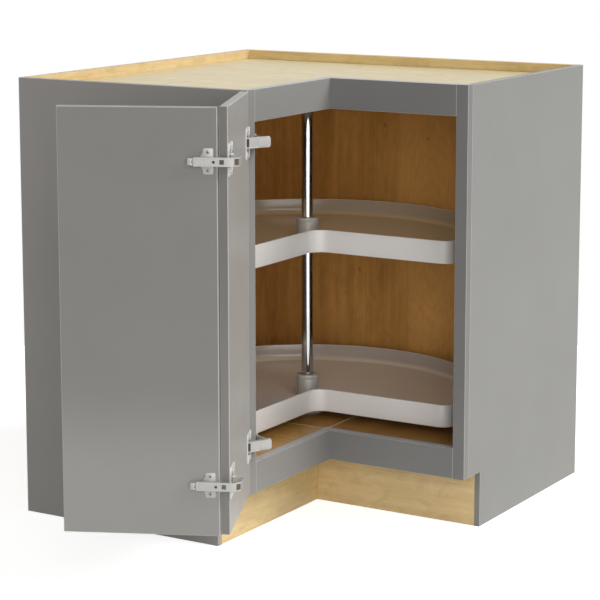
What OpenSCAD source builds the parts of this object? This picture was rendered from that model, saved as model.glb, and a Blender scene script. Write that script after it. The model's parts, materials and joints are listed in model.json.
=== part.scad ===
// Corner base cabinet with a folding pair of doors and two turning trays.
// Origin: the room's back corner on the floor. The walls are the planes x = 0 and y = 0,
// the cabinet runs along +X and -Y, and +Z is up. Millimetres.
// It is drawn with the doors open, as they stand when the pair is swung clear of the trays.

/* [Cabinet] */
// Length of the cabinet along each wall
wall_len = 830; // [810:5:860]
// Depth of each leg, from the wall to the front of the face frame
leg_depth = 530; // [520:2:540]
// Height from the floor to the top of the face frame
cab_h = 876; // [850:1:915]
// Height of the toe space
toe_h = 111; // [100:1:120]
// Distance of the toe boards behind the front of the face frame
toe_back = 71; // [55:1:85]

/* [Boards] */
// Thickness of the two end panels
end_t = 12.5; // [9:0.5:18]
// Thickness of the two panels along the walls
back_t = 5; // [3:0.5:8]
// Thickness of the top board
top_t = 12.5; // [9:0.5:18]
// Thickness of the floor boards
floor_t = 12.5; // [9:0.5:16]
// Distance of the floor below the top of the bottom rails
floor_drop = 3; // [0:0.5:6]
// Thickness of the rails that the cabinet is screwed to the walls through
hang_t = 12.5; // [9:0.5:18]
// Height of those rails above the top board
hang_h = 19; // [15:1:30]
// Thickness of the toe boards
toe_t = 12; // [9:0.5:16]
// Width of the cleats under the floor
cleat_w = 18; // [12:1:25]
// Height of the cleats under the floor
cleat_h = 20; // [15:1:30]

/* [Face frame] */
// Thickness of the stiles and rails
frame_t = 19; // [16:0.5:21]
// Width of the stiles
stile_w = 25; // [22:1:30]
// Height of the top and bottom rails
rail_h = 60; // [50:1:70]

/* [Doors] */
// Thickness of the doors
door_t = 16; // [15:0.5:20]
// Gap between the closed doors and the face frame
door_gap = 3; // [2.5:0.5:4]
// How far the hinged door covers the left stile
hinge_lap = 12; // [10:1:14]
// How far the folding door covers the right stile
free_lap = 23; // [15:1:24]
// Height of the doors' lower edge above the lower edge of the frame
door_low = 9; // [4:0.5:12]
// Distance of the doors' upper edge below the top of the frame
door_high = 1; // [1:0.5:8]
// How far the hinged door runs into the thickness of the folding door
leaf_lap = 4; // [2:0.5:6]
// Gap between the edge of the folding door and the hinged door
leaf_play = 0.5; // [0.3:0.1:1]
// Angle that the pair of doors is drawn open
door_open = 155; // [150:1:156]

/* [Hinge cups] */
// Distance of the hinges from the upper and lower edges of the doors
hinge_inset = 92.5; // [80:0.5:120]
// Diameter of a hinge cup
cup_d = 35; // [34.5:0.5:36]
// Depth of a hinge cup
cup_depth = 11.5; // [11:0.5:12.5]
// Sheet thickness of a cup
cup_wall = 1; // [0.8:0.1:1.2]
// Distance from the edge of the door to the rim of the cup
cup_edge = 5; // [4.5:0.5:6]
// Thickness of the flange of a cup
flange_t = 1.3; // [1:0.1:1.6]
// Height of the flange of a cup
flange_h = 58; // [56:1:64]
// Width of the two ears of the flange
flange_w = 42; // [36:0.5:43]
// Distance between the two screws of a cup
cup_screw_pitch = 45; // [45:0.5:48]
// Distance of the screws of a cup from its middle, away from the edge of the door
cup_screw_set = 6; // [4:0.5:8]

/* [Hinge links] */
// Diameter of the hinge pins
pin_d = 3.5; // [3:0.1:3.8]
// Running clearance round a pin
pin_play = 0.08; // [0.04:0.01:0.1]
// Clearance round a pin where it is held
pin_fit = 0.05; // [0.02:0.01:0.1]
// Diameter of the riveted heads of the pins
rivet_d = 5; // [4.5:0.1:6]
// Height of the riveted heads of the pins
rivet_h = 0.8; // [0.5:0.1:1]
// Height of the inner link
link_h = 15; // [10:0.5:16]
// Width of the inner link
link_w = 6.6; // [6:0.1:7]
// Sheet thickness of the cheeks of the outer link and the base
cheek_t = 2; // [1.5:0.1:2.2]
// Sheet thickness of the web of the outer link
web_t = 1.2; // [1:0.1:1.5]
// Side clearance between the stacked hinge parts
side_play = 0.3; // [0.2:0.05:0.4]
// Distance of the base's pin behind the front of the face frame
arm_pin_back = 7; // [6:0.5:8]
// Distance of the base's pin from the inner edge of the stile
arm_pin_out = 10; // [9.5:0.5:11]
// Length of the inner link between its pins
inner_len = 43.1; // [42:0.1:44]
// Direction of the inner link with the doors closed
inner_dir = 127.9; // [126:0.1:129]
// Depth of the cup's pin below the face of the door
cup_pin_in = 4.75; // [4.25:0.25:5.25]
// Distance of the cup's pin from the hinged edge of the door
cup_pin_edge = 26.5; // [26:0.25:27]
// Turn of the inner link from closed to open
inner_turn = 152.6; // [151:0.1:154]
// Turn of the outer link on the inner link from closed to open
outer_turn = 73.7; // [73:0.1:75]
// Width of the base of the frame hinge
base_w = 16; // [14:0.5:17]
// Height of the base of the frame hinge
base_h = 48; // [44:1:56]
// Sheet thickness of the base of the frame hinge
base_t = 2; // [1.5:0.1:2.2]
// Distance between the two screws of the base
base_screw_pitch = 34; // [32:1:36]

/* [Folding hinge] */
// Distance of the folding pin from the face of the hinged door
fold_pin_out = 4; // [3.5:0.5:5]
// Distance of the folding pin from the free edge of the hinged door
fold_pin_edge = 16; // [15.5:0.5:17]
// Height of the arm of the folding hinge
arm_h = 16; // [14:0.5:17]
// Sheet thickness of the arm
arm_t = 2.5; // [2:0.1:2.8]
// Length of the neck's path that each bend takes, to either side of its corner
bend_r = 4; // [3:0.5:4.5]
// Distance of the front of the arm from the face of the folding door
arm_out = 12; // [11:0.5:14]
// Length of the arm on the folding door, from the edge of that door
arm_len = 40; // [38:1:50]
// Distance of the neck of the arm from the face of the hinged door
neck_out = 21; // [19:0.5:23]
// Width of the wings of the mounting plate
wing_w = 18; // [16:0.5:20]
// Height of the wings of the mounting plate
wing_h = 45; // [43:1:50]
// Sheet thickness of the wings
wing_t = 2; // [1.5:0.1:2.5]
// Distance of the wings from the edge of the folding door
wing_set = 7; // [6:0.5:12]
// Distance between the two screws of the mounting plate
wing_screw_pitch = 32; // [30:1:34]
// Length of the clip behind the arm
clip_len = 8.5; // [7:0.5:10]
// Distance of the arm's screw from the edge of the folding door
arm_screw_in = 5; // [4.5:0.5:8]
// Distance of the middle of the arm's window from the edge of the folding door
window_out = 9; // [8:0.5:12]
// Width and height of that window
window_w = 8; // [6:0.5:9]

/* [Trays] */
// Radius of the trays
tray_r = 355; // [340:1:357]
// Distance of the pole from each wall
pole_set = 400; // [396:1:404]
// Height of the rim of a tray
rim_h = 45.5; // [38:0.5:50]
// Thickness of the rim of a tray
rim_t = 3; // [2.5:0.5:5]
// Width of the rolled lip on the rim
lip_w = 4; // [3.5:0.5:6]
// Height of the rolled lip on the rim
lip_h = 3; // [2:0.5:5]
// Thickness of the floor of a tray
tray_floor_t = 3; // [2.5:0.5:5]
// Height of that floor above the foot of the rim
tray_raise = 9; // [7:0.5:12]
// Distance of the two notch faces from the pole
notch_set = 50; // [40:1:60]
// Radius of the inner corner of the notch
notch_r = 32; // [25:1:60]
// Radius of the two tips of a tray
tip_r = 25; // [15:1:30]
// Number of ribs under a tray
rib_n = 8; // [6:1:12]
// Thickness of the ribs under a tray
rib_t = 2.5; // [2:0.5:4]
// Height of the foot of the lower tray above the floor of the cabinet
low_tray_up = 18; // [18:0.5:40]
// Distance between the two trays
tray_pitch = 329; // [300:1:360]

/* [Pole] */
// Diameter of the pole
pole_d = 24; // [22:0.5:28]
// Running clearance between the pole and a hub
hub_play = 0.1; // [0.05:0.01:0.1]
// Diameter of a hub
hub_d = 44.5; // [42:0.5:50]
// Height of a hub above the rim of its tray
hub_rise = 14.5; // [8:0.5:20]
// Diameter of the flange of a hub, below the floor of its tray
hub_flange_d = 84; // [76:1:92]
// Thickness of the flange of a hub
hub_flange_t = 3; // [2.5:0.5:3.5]
// Diameter of a stop collar
collar_d = 38; // [36:1:42]
// Height of a stop collar
collar_h = 12; // [10:0.5:13]
// Diameter of the sockets at the ends of the pole
socket_d = 32; // [31:0.5:40]
// Height of those sockets
socket_h = 7; // [6:0.5:8.5]
// Diameter of the flanges of the sockets
socket_flange_d = 62; // [56:1:75]
// Thickness of the flanges of the sockets
socket_flange_t = 3; // [2.5:0.5:4]

/* [Screws] */
// Diameter of the wood screws
screw_d = 3.5; // [3:0.1:4]
// Length of the wood screws below the head
screw_len = 12; // [10:0.5:13]
// Diameter of the heads of the wood screws
head_d = 6.6; // [6:0.1:7]
// Height of the heads of the wood screws
head_h = 1.8; // [1.5:0.1:2.2]
// Clearance round a screw in its hole
screw_fit = 0.05; // [0.02:0.01:0.1]
// Diameter of the collars' set screws
set_d = 5; // [4:0.5:6]

/* [Hidden] */
$fn = 96;
eps = 0.01;

frame_in = leg_depth - frame_t;
stile_edge = wall_len - stile_w;
end_in = wall_len - end_t;
frame_low = toe_h;
open_low = frame_low + rail_h;
open_high = cab_h - rail_h;
floor_top = open_low - floor_drop;
floor_under = floor_top - floor_t;
board_top = cab_h - hang_h;
board_under = board_top - top_t;
toe_front = leg_depth - toe_back;

door_in = leg_depth + door_gap;
door_out = door_in + door_t;
hinge_edge = stile_edge + hinge_lap;
leaf_a_end = door_out - leaf_lap;
leaf_b_start = door_out + leaf_play;
leaf_b_end = stile_edge + free_lap;
door_z0 = frame_low + door_low;
door_z1 = cab_h - door_high;
hinge_zs = [door_z1 - hinge_inset, door_z0 + hinge_inset];

cup_mid = cup_edge + cup_d / 2;
frame_cup_y = -hinge_edge + cup_mid;
fold_cup_y = -leaf_a_end - cup_mid;
cup_floor = cup_depth - cup_wall;

arm_pin = [leg_depth - arm_pin_back, -stile_edge + arm_pin_out];
knee_pin = arm_pin + inner_len * [cos(inner_dir), sin(inner_dir)];
cup_pin = [door_in + cup_pin_in, -hinge_edge + cup_pin_edge];
fold_pin = [door_in - fold_pin_out, -leaf_a_end - fold_pin_edge];
leaf_turn = door_open - inner_turn + outer_turn;
cheek_w = link_w + 2 * (web_t + side_play);
cheek_z = link_h / 2 + side_play;
ear_z = cheek_z + cheek_t + side_play;
fold_ear_z = arm_h / 2 + side_play;
ear_w = pin_d + 4.5;

pole_at = [pole_set, -pole_set];
low_tray_z = floor_top + low_tray_up;
tray_zs = [low_tray_z + tray_pitch, low_tray_z];
hub_top = rim_h + hub_rise;
hub_low = tray_raise - hub_flange_t;
hub_screw_r = (hub_d + hub_flange_d) / 4;
hub_screw_len = hub_flange_t + tray_floor_t - 0.6;
socket_screw_r = (socket_d + socket_flange_d) / 4;
socket_bore = pole_d + 2 * pin_fit;
arm_y = -door_in + arm_out - arm_t / 2;
neck_x = door_in - neck_out;
rail_w = arm_h - 2 * arm_t + 1;
fold_rail_start = leaf_b_start + 2;

paint = "dimgray";
frame_paint = [0.44, 0.43, 0.41];
panel_paint = [0.63, 0.64, 0.61];
wood = [0.44, 0.29, 0.13];
pale_wood = [0.87, 0.80, 0.68];
toe_wood = [0.70, 0.59, 0.41];
steel = [0.75, 0.75, 0.76];
plastic = [0.72, 0.68, 0.63];

// A board between two opposite corners
module slab(a, b) {
    translate(a) cube(b - a);
}

// Turn about an upright pin
module turn(pin, angle) {
    translate(pin) rotate(angle) translate(-pin) children();
}

// The door parts are drawn closed and carried to the open pose through the hinge's own pins
module on_inner_link() {
    turn(arm_pin, -inner_turn) children();
}

module on_outer_link() {
    on_inner_link() turn(knee_pin, outer_turn) children();
}

module on_doors() {
    on_outer_link() turn(cup_pin, -leaf_turn) children();
}

// Flat outline of a link between two pins
module bar(a, b, w) {
    d = b - a;
    translate(a) rotate(atan2(d[1], d[0])) translate([0, -w / 2]) square([norm(d), w]);
    translate(a) circle(d = w);
    translate(b) circle(d = w);
}

function unit(v) = v / norm(v);
function left(v) = [-v[1], v[0]];

// Points round one bend of a path, from r before its corner to r after it
function bend(path, i, r) =
    let (a = path[i] - r * unit(path[i] - path[i - 1]), b = path[i] + r * unit(path[i + 1] - path[i]))
    [for (t = [0 : 0.2 : 1]) (1 - t) * (1 - t) * a + 2 * t * (1 - t) * path[i] + t * t * b];

function rounded(path, r) = concat([path[0]],
    [for (i = [1 : len(path) - 2]) each bend(path, i, r)], [path[len(path) - 1]]);

// Offset of one point of a path to the left, mitred
function mitre(path, i, w) =
    let (last = len(path) - 1,
        a = unit(i > 0 ? path[i] - path[i - 1] : path[1] - path[0]),
        b = unit(i < last ? path[i + 1] - path[i] : path[last] - path[last - 1]),
        n = unit(left(a) + left(b)))
    n * w / 2 / (n * left(a));

// Flat outline of a bent sheet, w thick, about a path
module strip(path, w) {
    last = len(path) - 1;
    polygon(concat([for (i = [0 : last]) path[i] + mitre(path, i, w)],
        [for (i = [last : -1 : 0]) path[i] - mitre(path, i, w)]));
}

// A pair of sheet cheeks, the same distance above and below the middle of a hinge
module cheeks(z, near) {
    for (base = [near, -near - cheek_t])
        translate([0, 0, z + base]) linear_extrude(cheek_t) children();
}

// An upright pin with a riveted head at each end
module pin(at, z, half) {
    translate([at[0], at[1], z - half]) cylinder(d = pin_d, h = 2 * half);
    for (end = [half, -half - rivet_h])
        translate([at[0], at[1], z + end]) cylinder(d = rivet_d, h = rivet_h);
}

// Local frame with x along the room's Y, y along Z and z along X, at the face of the hinged door
module on_leaf_a() {
    translate([door_in, 0, 0]) rotate([90, 0, 90]) children();
}

// A wood screw whose head rests on z = 0 and whose shank runs down, or its hole
module screw(hole) {
    extra = hole ? screw_fit : 0;
    translate([0, 0, -screw_len - extra]) cylinder(d = screw_d + 2 * extra, h = screw_len + extra + eps);
    if (!hole) difference() {
        cylinder(d1 = head_d, d2 = 0.7 * head_d, h = head_h);
        for (a = [0, 90])
            rotate(a) translate([-0.22 * head_d, -0.35, head_h / 2]) cube([0.44 * head_d, 0.7, head_h]);
    }
}

// Screws of the two cups of a hinge height, seen from the face of the hinged door
module cup_screws(hole) {
    for (z = hinge_zs, side = [-1, 1], cup = [[frame_cup_y, 1], [fold_cup_y, -1]])
        translate([door_in - flange_t, cup[0] + cup[1] * cup_screw_set, z + side * cup_screw_pitch / 2])
            rotate([0, -90, 0]) screw(hole);
}

// Screws of the mounting plates on the folding door
module wing_screws(hole) {
    for (z = hinge_zs, side = [-1, 1])
        translate([leaf_b_start + wing_set + wing_w / 2, -door_in + wing_t, z + side * wing_screw_pitch / 2])
            rotate([-90, 0, 0]) screw(hole);
}

// Screws of the hinge bases in the left stile
module base_screws(hole) {
    for (z = hinge_zs, side = [-1, 1])
        translate([frame_in + 1 + base_w / 2, -stile_edge + base_t, z + side * base_screw_pitch / 2])
            rotate([-90, 0, 0]) screw(hole);
}

// Screws of the sockets at the ends of the pole, three to each
module socket_screws(hole) {
    for (a = [30, 150, 270]) translate(pole_at) rotate(a) {
        translate([socket_screw_r, 0, floor_top + socket_flange_t]) screw(hole);
        translate([socket_screw_r, 0, board_under - socket_flange_t]) rotate([180, 0, 0]) screw(hole);
    }
}

// An end panel in its own frame: x runs from the wall, y is its thickness, z is up
module end_panel() {
    difference() {
        cube([frame_in, end_t, cab_h]);
        translate([toe_front, -eps, -eps]) cube([frame_t + toe_back, end_t + 2 * eps, toe_h + eps]);
    }
}

module left_end_panel() {
    color(paint) translate([0, -wall_len, 0]) end_panel();
}

module right_end_panel() {
    color(panel_paint) translate([wall_len, 0, 0]) rotate(-90) mirror([0, 1, 0]) end_panel();
}

module left_wall_panel() {
    color(wood) slab([0, -end_in, 0], [back_t, 0, cab_h]);
}

module back_wall_panel() {
    color(wood) slab([back_t, -back_t, 0], [end_in, 0, cab_h]);
}

module left_hanging_rail() {
    color(pale_wood) slab([back_t, -end_in, board_top], [back_t + hang_t, -back_t, cab_h]);
}

module back_hanging_rail() {
    color(pale_wood) slab([back_t + hang_t, -back_t - hang_t, board_top], [end_in, -back_t, cab_h]);
}

// The L that the frame leaves between the panels, from z0 to z1
module leg_plan(z0, z1) {
    translate([0, 0, z0]) linear_extrude(z1 - z0) difference() {
        translate([back_t, -end_in]) square(end_in - back_t);
        translate([frame_in, -end_in - eps]) square(end_in - frame_in + eps);
    }
}

module top_board() {
    color(pale_wood) difference() {
        leg_plan(board_under, board_top);
        socket_screws(true);
    }
}

module floor_corner_board() {
    color(wood) difference() {
        slab([back_t, -frame_in, floor_under], [frame_in, -back_t, floor_top]);
        socket_screws(true);
    }
}

module floor_left_board() {
    color(wood) slab([back_t, -end_in, floor_under], [frame_in, -frame_in, floor_top]);
}

module floor_right_board() {
    color(wood) slab([frame_in, -frame_in, floor_under], [end_in, -back_t, floor_top]);
}

module cleat_left_wall() {
    color(wood) slab([back_t, -end_in + cleat_w, floor_under - cleat_h],
        [back_t + cleat_w, -back_t - cleat_w, floor_under]);
}

module cleat_back_wall() {
    color(wood) slab([back_t, -back_t - cleat_w, floor_under - cleat_h],
        [end_in - cleat_w, -back_t, floor_under]);
}

module cleat_left_end() {
    color(wood) slab([back_t, -end_in, floor_under - cleat_h],
        [toe_front - toe_t, -end_in + cleat_w, floor_under]);
}

module cleat_right_end() {
    color(wood) slab([end_in - cleat_w, -toe_front + toe_t, floor_under - cleat_h],
        [end_in, -back_t, floor_under]);
}

module toe_board_left() {
    color(toe_wood) slab([toe_front - toe_t, -end_in, 0], [toe_front, -toe_front + toe_t, floor_under]);
}

module toe_board_right() {
    color(toe_wood) slab([toe_front, -toe_front, 0], [end_in, -toe_front + toe_t, floor_under]);
}

module left_stile() {
    color(frame_paint) difference() {
        slab([frame_in, -wall_len, frame_low], [leg_depth, -stile_edge, cab_h]);
        base_screws(true);
    }
}

module right_stile() {
    color(frame_paint) slab([stile_edge, -leg_depth, frame_low], [wall_len, -frame_in, cab_h]);
}

module rail_left(z) {
    color(frame_paint) slab([frame_in, -stile_edge, z], [leg_depth, -frame_in, z + rail_h]);
}

module rail_right(z) {
    color(frame_paint) slab([leg_depth, -leg_depth, z], [stile_edge, -frame_in, z + rail_h]);
}

module pole() {
    color(steel) translate([pole_set, -pole_set, floor_top + socket_flange_t])
        cylinder(d = pole_d, h = board_under - floor_top - 2 * socket_flange_t);
}

// A flanged socket for one end of the pole, standing on z = 0
module socket() {
    difference() {
        union() {
            cylinder(d = socket_flange_d, h = socket_flange_t);
            cylinder(d = socket_d, h = socket_flange_t + socket_h);
        }
        translate([0, 0, socket_flange_t]) cylinder(d = socket_bore, h = socket_h + eps);
    }
}

module pole_foot() {
    color(plastic) difference() {
        translate([pole_set, -pole_set, floor_top]) socket();
        socket_screws(true);
    }
}

module pole_head() {
    color(plastic) difference() {
        translate([pole_set, -pole_set, board_under]) rotate([180, 0, 0]) socket();
        socket_screws(true);
    }
}

// A collar that holds one tray up on the pole
module stop_collar(tray_z) {
    color(steel) translate([pole_set, -pole_set, tray_z + hub_low - collar_h]) difference() {
        cylinder(d = collar_d, h = collar_h);
        translate([0, 0, -eps]) cylinder(d = socket_bore, h = collar_h + 2 * eps);
        translate([0, 0, collar_h / 2]) rotate([90, 0, -45])
            cylinder(d = set_d + 2 * screw_fit, h = collar_d);
    }
}

module set_screws() {
    reach = (collar_d - pole_d) / 2;
    color(steel) for (z = tray_zs)
        translate([pole_set, -pole_set, z + hub_low - collar_h / 2]) rotate([90, 0, -45])
            translate([0, 0, pole_d / 2 + pin_fit]) difference() {
                cylinder(d = set_d, h = reach - pin_fit);
                translate([0, 0, reach / 2]) cylinder(d = set_d / 2, h = reach);
            }
}

// The sheet base on the inner edge of the left stile that carries the inner link
module hinge_base(z) {
    color(steel) difference() {
        union() {
            slab([frame_in + 1, -stile_edge, z - base_h / 2],
                [frame_in + 1 + base_w, -stile_edge + base_t, z + base_h / 2]);
            cheeks(z, cheek_z) union() {
                translate(arm_pin) circle(d = ear_w);
                translate([arm_pin[0] - ear_w / 2, -stile_edge + base_t / 2])
                    square([ear_w, arm_pin_out - base_t / 2]);
            }
        }
        translate([arm_pin[0], arm_pin[1], z - base_h / 2])
            cylinder(d = pin_d + 2 * pin_fit, h = base_h);
        base_screws(true);
    }
}

module base_pins() {
    color(steel) for (z = hinge_zs) pin(arm_pin, z, cheek_z + cheek_t);
}

module cabinet_screws() {
    color(steel) {
        base_screws(false);
        socket_screws(false);
    }
}

module inner_link(z) {
    color(steel) on_inner_link() translate([0, 0, z - link_h / 2]) linear_extrude(link_h) difference() {
        bar(arm_pin, knee_pin, link_w);
        for (at = [arm_pin, knee_pin]) translate(at) circle(d = pin_d + 2 * pin_play);
    }
}

// Two cheeks joined by a web along the side that the inner link never swings to
module outer_link(z) {
    run = cup_pin - knee_pin;
    color(steel) on_outer_link() {
        cheeks(z, cheek_z) difference() {
            bar(knee_pin, cup_pin, cheek_w);
            translate(knee_pin) circle(d = pin_d + 2 * pin_fit);
            translate(cup_pin) circle(d = pin_d + 2 * pin_play);
        }
        translate([knee_pin[0], knee_pin[1], z - cheek_z - cheek_t / 2]) rotate(atan2(run[1], run[0]))
            translate([0, cheek_w / 2 - web_t, 0]) cube([norm(run), web_t, 2 * cheek_z + cheek_t]);
    }
}

module knee_pins() {
    color(steel) on_outer_link() for (z = hinge_zs) pin(knee_pin, z, cheek_z + cheek_t);
}

// The bores that the cups are let into
module cup_bores() {
    for (z = hinge_zs, y = [frame_cup_y, fold_cup_y])
        on_leaf_a() translate([y, z, -eps]) cylinder(d = cup_d + 2 * screw_fit, h = cup_depth + eps);
}

module door_leaf_a() {
    color(paint) on_doors() difference() {
        slab([door_in, -hinge_edge, door_z0], [door_out, -leaf_a_end, door_z1]);
        cup_bores();
        cup_screws(true);
    }
}

// A pressed cup with its screwed flange, two ears that hold the pin at a given depth,
// and a shallow relief in its rim where a link passes
module cup(y, z, at, near, relief) {
    side = at[1] > y ? 1 : -1;
    difference() {
        union() {
            on_leaf_a() translate([y, z, -2 * eps]) cylinder(d = cup_d, h = cup_depth + 2 * eps);
            on_leaf_a() translate([y, z, -flange_t]) linear_extrude(flange_t - eps) {
                circle(d = cup_d + 4);
                translate([-flange_w / 2, -flange_h / 2 + 3]) square([flange_w, flange_h - 6]);
                translate([-flange_w / 2 + 3, -flange_h / 2]) square([flange_w - 6, flange_h]);
                for (u = [-1, 1], v = [-1, 1])
                    translate([u * (flange_w / 2 - 3), v * (flange_h / 2 - 3)]) circle(r = 3);
            }
        }
        on_leaf_a() translate([y, z, -flange_t - eps])
            cylinder(d = cup_d - 2 * cup_wall, h = cup_floor + flange_t + eps);
        cup_screws(true);
        if (relief > 0)
            slab([door_in - flange_t - 1, y, z - relief], [door_in + 0.5, y + cup_d / 2 - 2.5, z + relief]);
    }
    cheeks(z, near) difference() {
        union() {
            translate(at) circle(d = ear_w);
            translate([at[0], at[1] - ear_w / 2]) square([door_in + cup_floor + eps - at[0], ear_w]);
        }
        translate(at) circle(d = pin_d + 2 * pin_fit);
    }
}

module frame_cup(z) {
    color(steel) on_doors() cup(frame_cup_y, z, cup_pin, ear_z, ear_z);
}

module fold_cup(z) {
    color(steel) on_doors() cup(fold_cup_y, z, fold_pin, fold_ear_z, 0);
}

module cup_pins() {
    color(steel) on_doors() for (z = hinge_zs) pin(cup_pin, z, ear_z + cheek_t);
}

module fold_pins() {
    color(steel) on_doors() for (z = hinge_zs) pin(fold_pin, z, fold_ear_z + cheek_t);
}

module leaf_a_screws() {
    color(steel) on_doors() cup_screws(false);
}

module door_leaf_b() {
    color(paint) on_doors() difference() {
        slab([leaf_b_start, -door_out, door_z0], [leaf_b_end, -door_in, door_z1]);
        wing_screws(true);
    }
}

// The winged plate on the folding door, with the rail that the arm clips over
module fold_plate(z) {
    color(steel) on_doors() difference() {
        union() {
            slab([leaf_b_start + wing_set, -door_in, z - wing_h / 2],
                [leaf_b_start + wing_set + wing_w, -door_in + wing_t, z + wing_h / 2]);
            slab([fold_rail_start, -door_in, z - rail_w / 2],
                [leaf_b_start + arm_len + arm_t + clip_len, -door_in + arm_out - arm_t, z + rail_w / 2]);
        }
        wing_screws(true);
        arm_screw_holes(z);
    }
}

module arm_screw_holes(z) {
    translate([leaf_b_start + arm_screw_in, -door_in + arm_out, z]) rotate([-90, 0, 0])
        translate([0, 0, -8]) cylinder(d = screw_d + 2 * screw_fit, h = 8 + eps);
}

// The cranked arm: a channel over the rail, and a neck that reaches round the edge to the pin
module fold_arm(z) {
    neck = [[leaf_b_start + arm_len, arm_y], [fold_pin[0] - 9, arm_y], [neck_x, arm_y - 9],
        [neck_x, fold_pin[1]], fold_pin];
    half = rail_w / 2 + 0.2;
    wall = arm_h / 2 - 0.3 - half;
    color(steel) on_doors() difference() {
        union() {
            translate([0, 0, z - arm_h / 2]) linear_extrude(arm_h) {
                strip(rounded(neck, bend_r), arm_t);
                translate(fold_pin) circle(d = pin_d + 3.6);
            }
            for (low = [-half - wall, half])
                slab([fold_rail_start, -door_in + wing_t + side_play, z + low],
                    [leaf_b_start + arm_len, arm_y, z + low + wall]);
        }
        translate([fold_pin[0], fold_pin[1], z - arm_h])
            cylinder(d = pin_d + 2 * pin_play, h = 2 * arm_h);
        arm_screw_holes(z);
        translate([leaf_b_start - window_out, arm_y, z]) cube([window_w, 2 * arm_t, window_w], center = true);
    }
}

// The lever that locks the arm on its rail
module fold_clip(z) {
    x0 = leaf_b_start + arm_len + arm_t / 2 + 0.2;
    color(steel) on_doors() difference() {
        slab([x0, -door_in + arm_out - arm_t, z - rail_w / 2],
            [x0 + clip_len, -door_in + arm_out + 1, z + rail_w / 2]);
        translate([x0 + clip_len, -door_in + arm_out + 3, z - arm_h])
            cylinder(r = 4, h = 2 * arm_h);
    }
}

module leaf_b_screws() {
    color(steel) on_doors() wing_screws(false);
}

// The screws that set the arms on their rails
module arm_screws() {
    color(steel) on_doors() for (z = hinge_zs)
        translate([leaf_b_start + arm_screw_in, -door_in + arm_out, z]) rotate([-90, 0, 0]) {
            translate([0, 0, -7]) cylinder(d = screw_d, h = 7 + eps);
            difference() {
                cylinder(d = head_d, h = 1);
                translate([-2, -0.4, 0.4]) cube([4, 0.8, 1]);
            }
        }
}

// Plan of a tray about the pole, drawn in by a given amount
module tray_plan(inset) {
    tip = tip_r - inset;
    tip_x = notch_set - tip_r;
    tip_y = -sqrt(pow(tray_r - tip_r, 2) - pow(tip_x, 2));
    far = tray_r + 10;
    difference() {
        circle(r = tray_r - inset);
        difference() {
            translate([notch_set - inset, -far]) square([far, far - notch_set + inset]);
            difference() {
                translate([notch_set - inset, -notch_set - notch_r])
                    square([notch_r + inset, notch_r + inset]);
                translate([notch_set + notch_r, -notch_set - notch_r]) circle(r = notch_r + inset);
            }
        }
        for (m = [0, 1]) mirror([m, m]) polygon([[tip_x, tip_y], [far, tip_y], [far, -far],
            [tip_x, tip_y] * (far / (tray_r - tip_r))]);
    }
    for (m = [0, 1]) mirror([m, m]) translate([tip_x, tip_y]) circle(r = tip);
}

module tray(z) {
    color(plastic) translate([pole_set, -pole_set, z]) difference() {
        union() {
            linear_extrude(rim_h) difference() {
                tray_plan(0);
                tray_plan(rim_t);
            }
            translate([0, 0, rim_h - lip_h]) linear_extrude(lip_h) difference() {
                tray_plan(0);
                tray_plan(lip_w);
            }
            translate([0, 0, tray_raise]) linear_extrude(tray_floor_t) tray_plan(rim_t / 2);
            intersection() {
                for (i = [0 : rib_n - 1]) rotate((i + 0.5) * 360 / rib_n)
                    translate([hub_flange_d / 2 + 2, -rib_t / 2, 2])
                        cube([tray_r, rib_t, tray_raise - 2 + eps]);
                linear_extrude(tray_raise + eps) tray_plan(rim_t / 2);
            }
        }
        translate([0, 0, -eps]) cylinder(d = hub_d + 2 * screw_fit, h = rim_h);
        hub_screw_holes();
    }
}

module hub_screw_holes() {
    for (a = [0 : 90 : 270]) rotate(a)
        translate([hub_screw_r, 0, hub_low - eps])
            cylinder(d = screw_d + 2 * screw_fit, h = hub_screw_len + 0.1);
}

// The moulded hub that turns on the pole, rests on its stop collar and is screwed up into the tray
module hub(z) {
    color(plastic) translate([pole_set, -pole_set, z]) difference() {
        union() {
            translate([0, 0, hub_low]) cylinder(d = hub_flange_d, h = hub_flange_t);
            translate([0, 0, hub_low]) cylinder(d = hub_d, h = hub_top - hub_low - 2);
            translate([0, 0, hub_top - 2]) cylinder(d1 = hub_d, d2 = hub_d - 4, h = 2);
        }
        translate([0, 0, -eps]) cylinder(d = pole_d + 2 * hub_play, h = hub_top + 1);
        hub_screw_holes();
    }
}

module hub_screws(z) {
    color(steel) translate([pole_set, -pole_set, z]) for (a = [0 : 90 : 270]) rotate(a)
        translate([hub_screw_r, 0, hub_low]) {
            translate([0, 0, -eps]) cylinder(d = screw_d, h = hub_screw_len);
            translate([0, 0, -head_h]) cylinder(d1 = 0.7 * head_d, d2 = head_d, h = head_h);
        }
}

left_end_panel();
right_end_panel();
left_wall_panel();
back_wall_panel();
left_hanging_rail();
back_hanging_rail();
top_board();
floor_corner_board();
floor_left_board();
floor_right_board();
cleat_left_wall();
cleat_back_wall();
cleat_left_end();
cleat_right_end();
toe_board_left();
toe_board_right();
left_stile();
right_stile();
rail_left(open_high);  // top_rail_left
rail_right(open_high);  // top_rail_right
rail_left(frame_low);  // bottom_rail_left
rail_right(frame_low);  // bottom_rail_right
pole();
pole_foot();
pole_head();
stop_collar(tray_zs[0]);  // stop_collar_upper
stop_collar(tray_zs[1]);  // stop_collar_lower
set_screws();
hinge_base(hinge_zs[0]);  // hinge_base_upper
hinge_base(hinge_zs[1]);  // hinge_base_lower
base_pins();
cabinet_screws();
inner_link(hinge_zs[0]);  // inner_link_upper
inner_link(hinge_zs[1]);  // inner_link_lower
outer_link(hinge_zs[0]);  // outer_link_upper
outer_link(hinge_zs[1]);  // outer_link_lower
knee_pins();
door_leaf_a();
frame_cup(hinge_zs[0]);  // frame_cup_upper
frame_cup(hinge_zs[1]);  // frame_cup_lower
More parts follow.
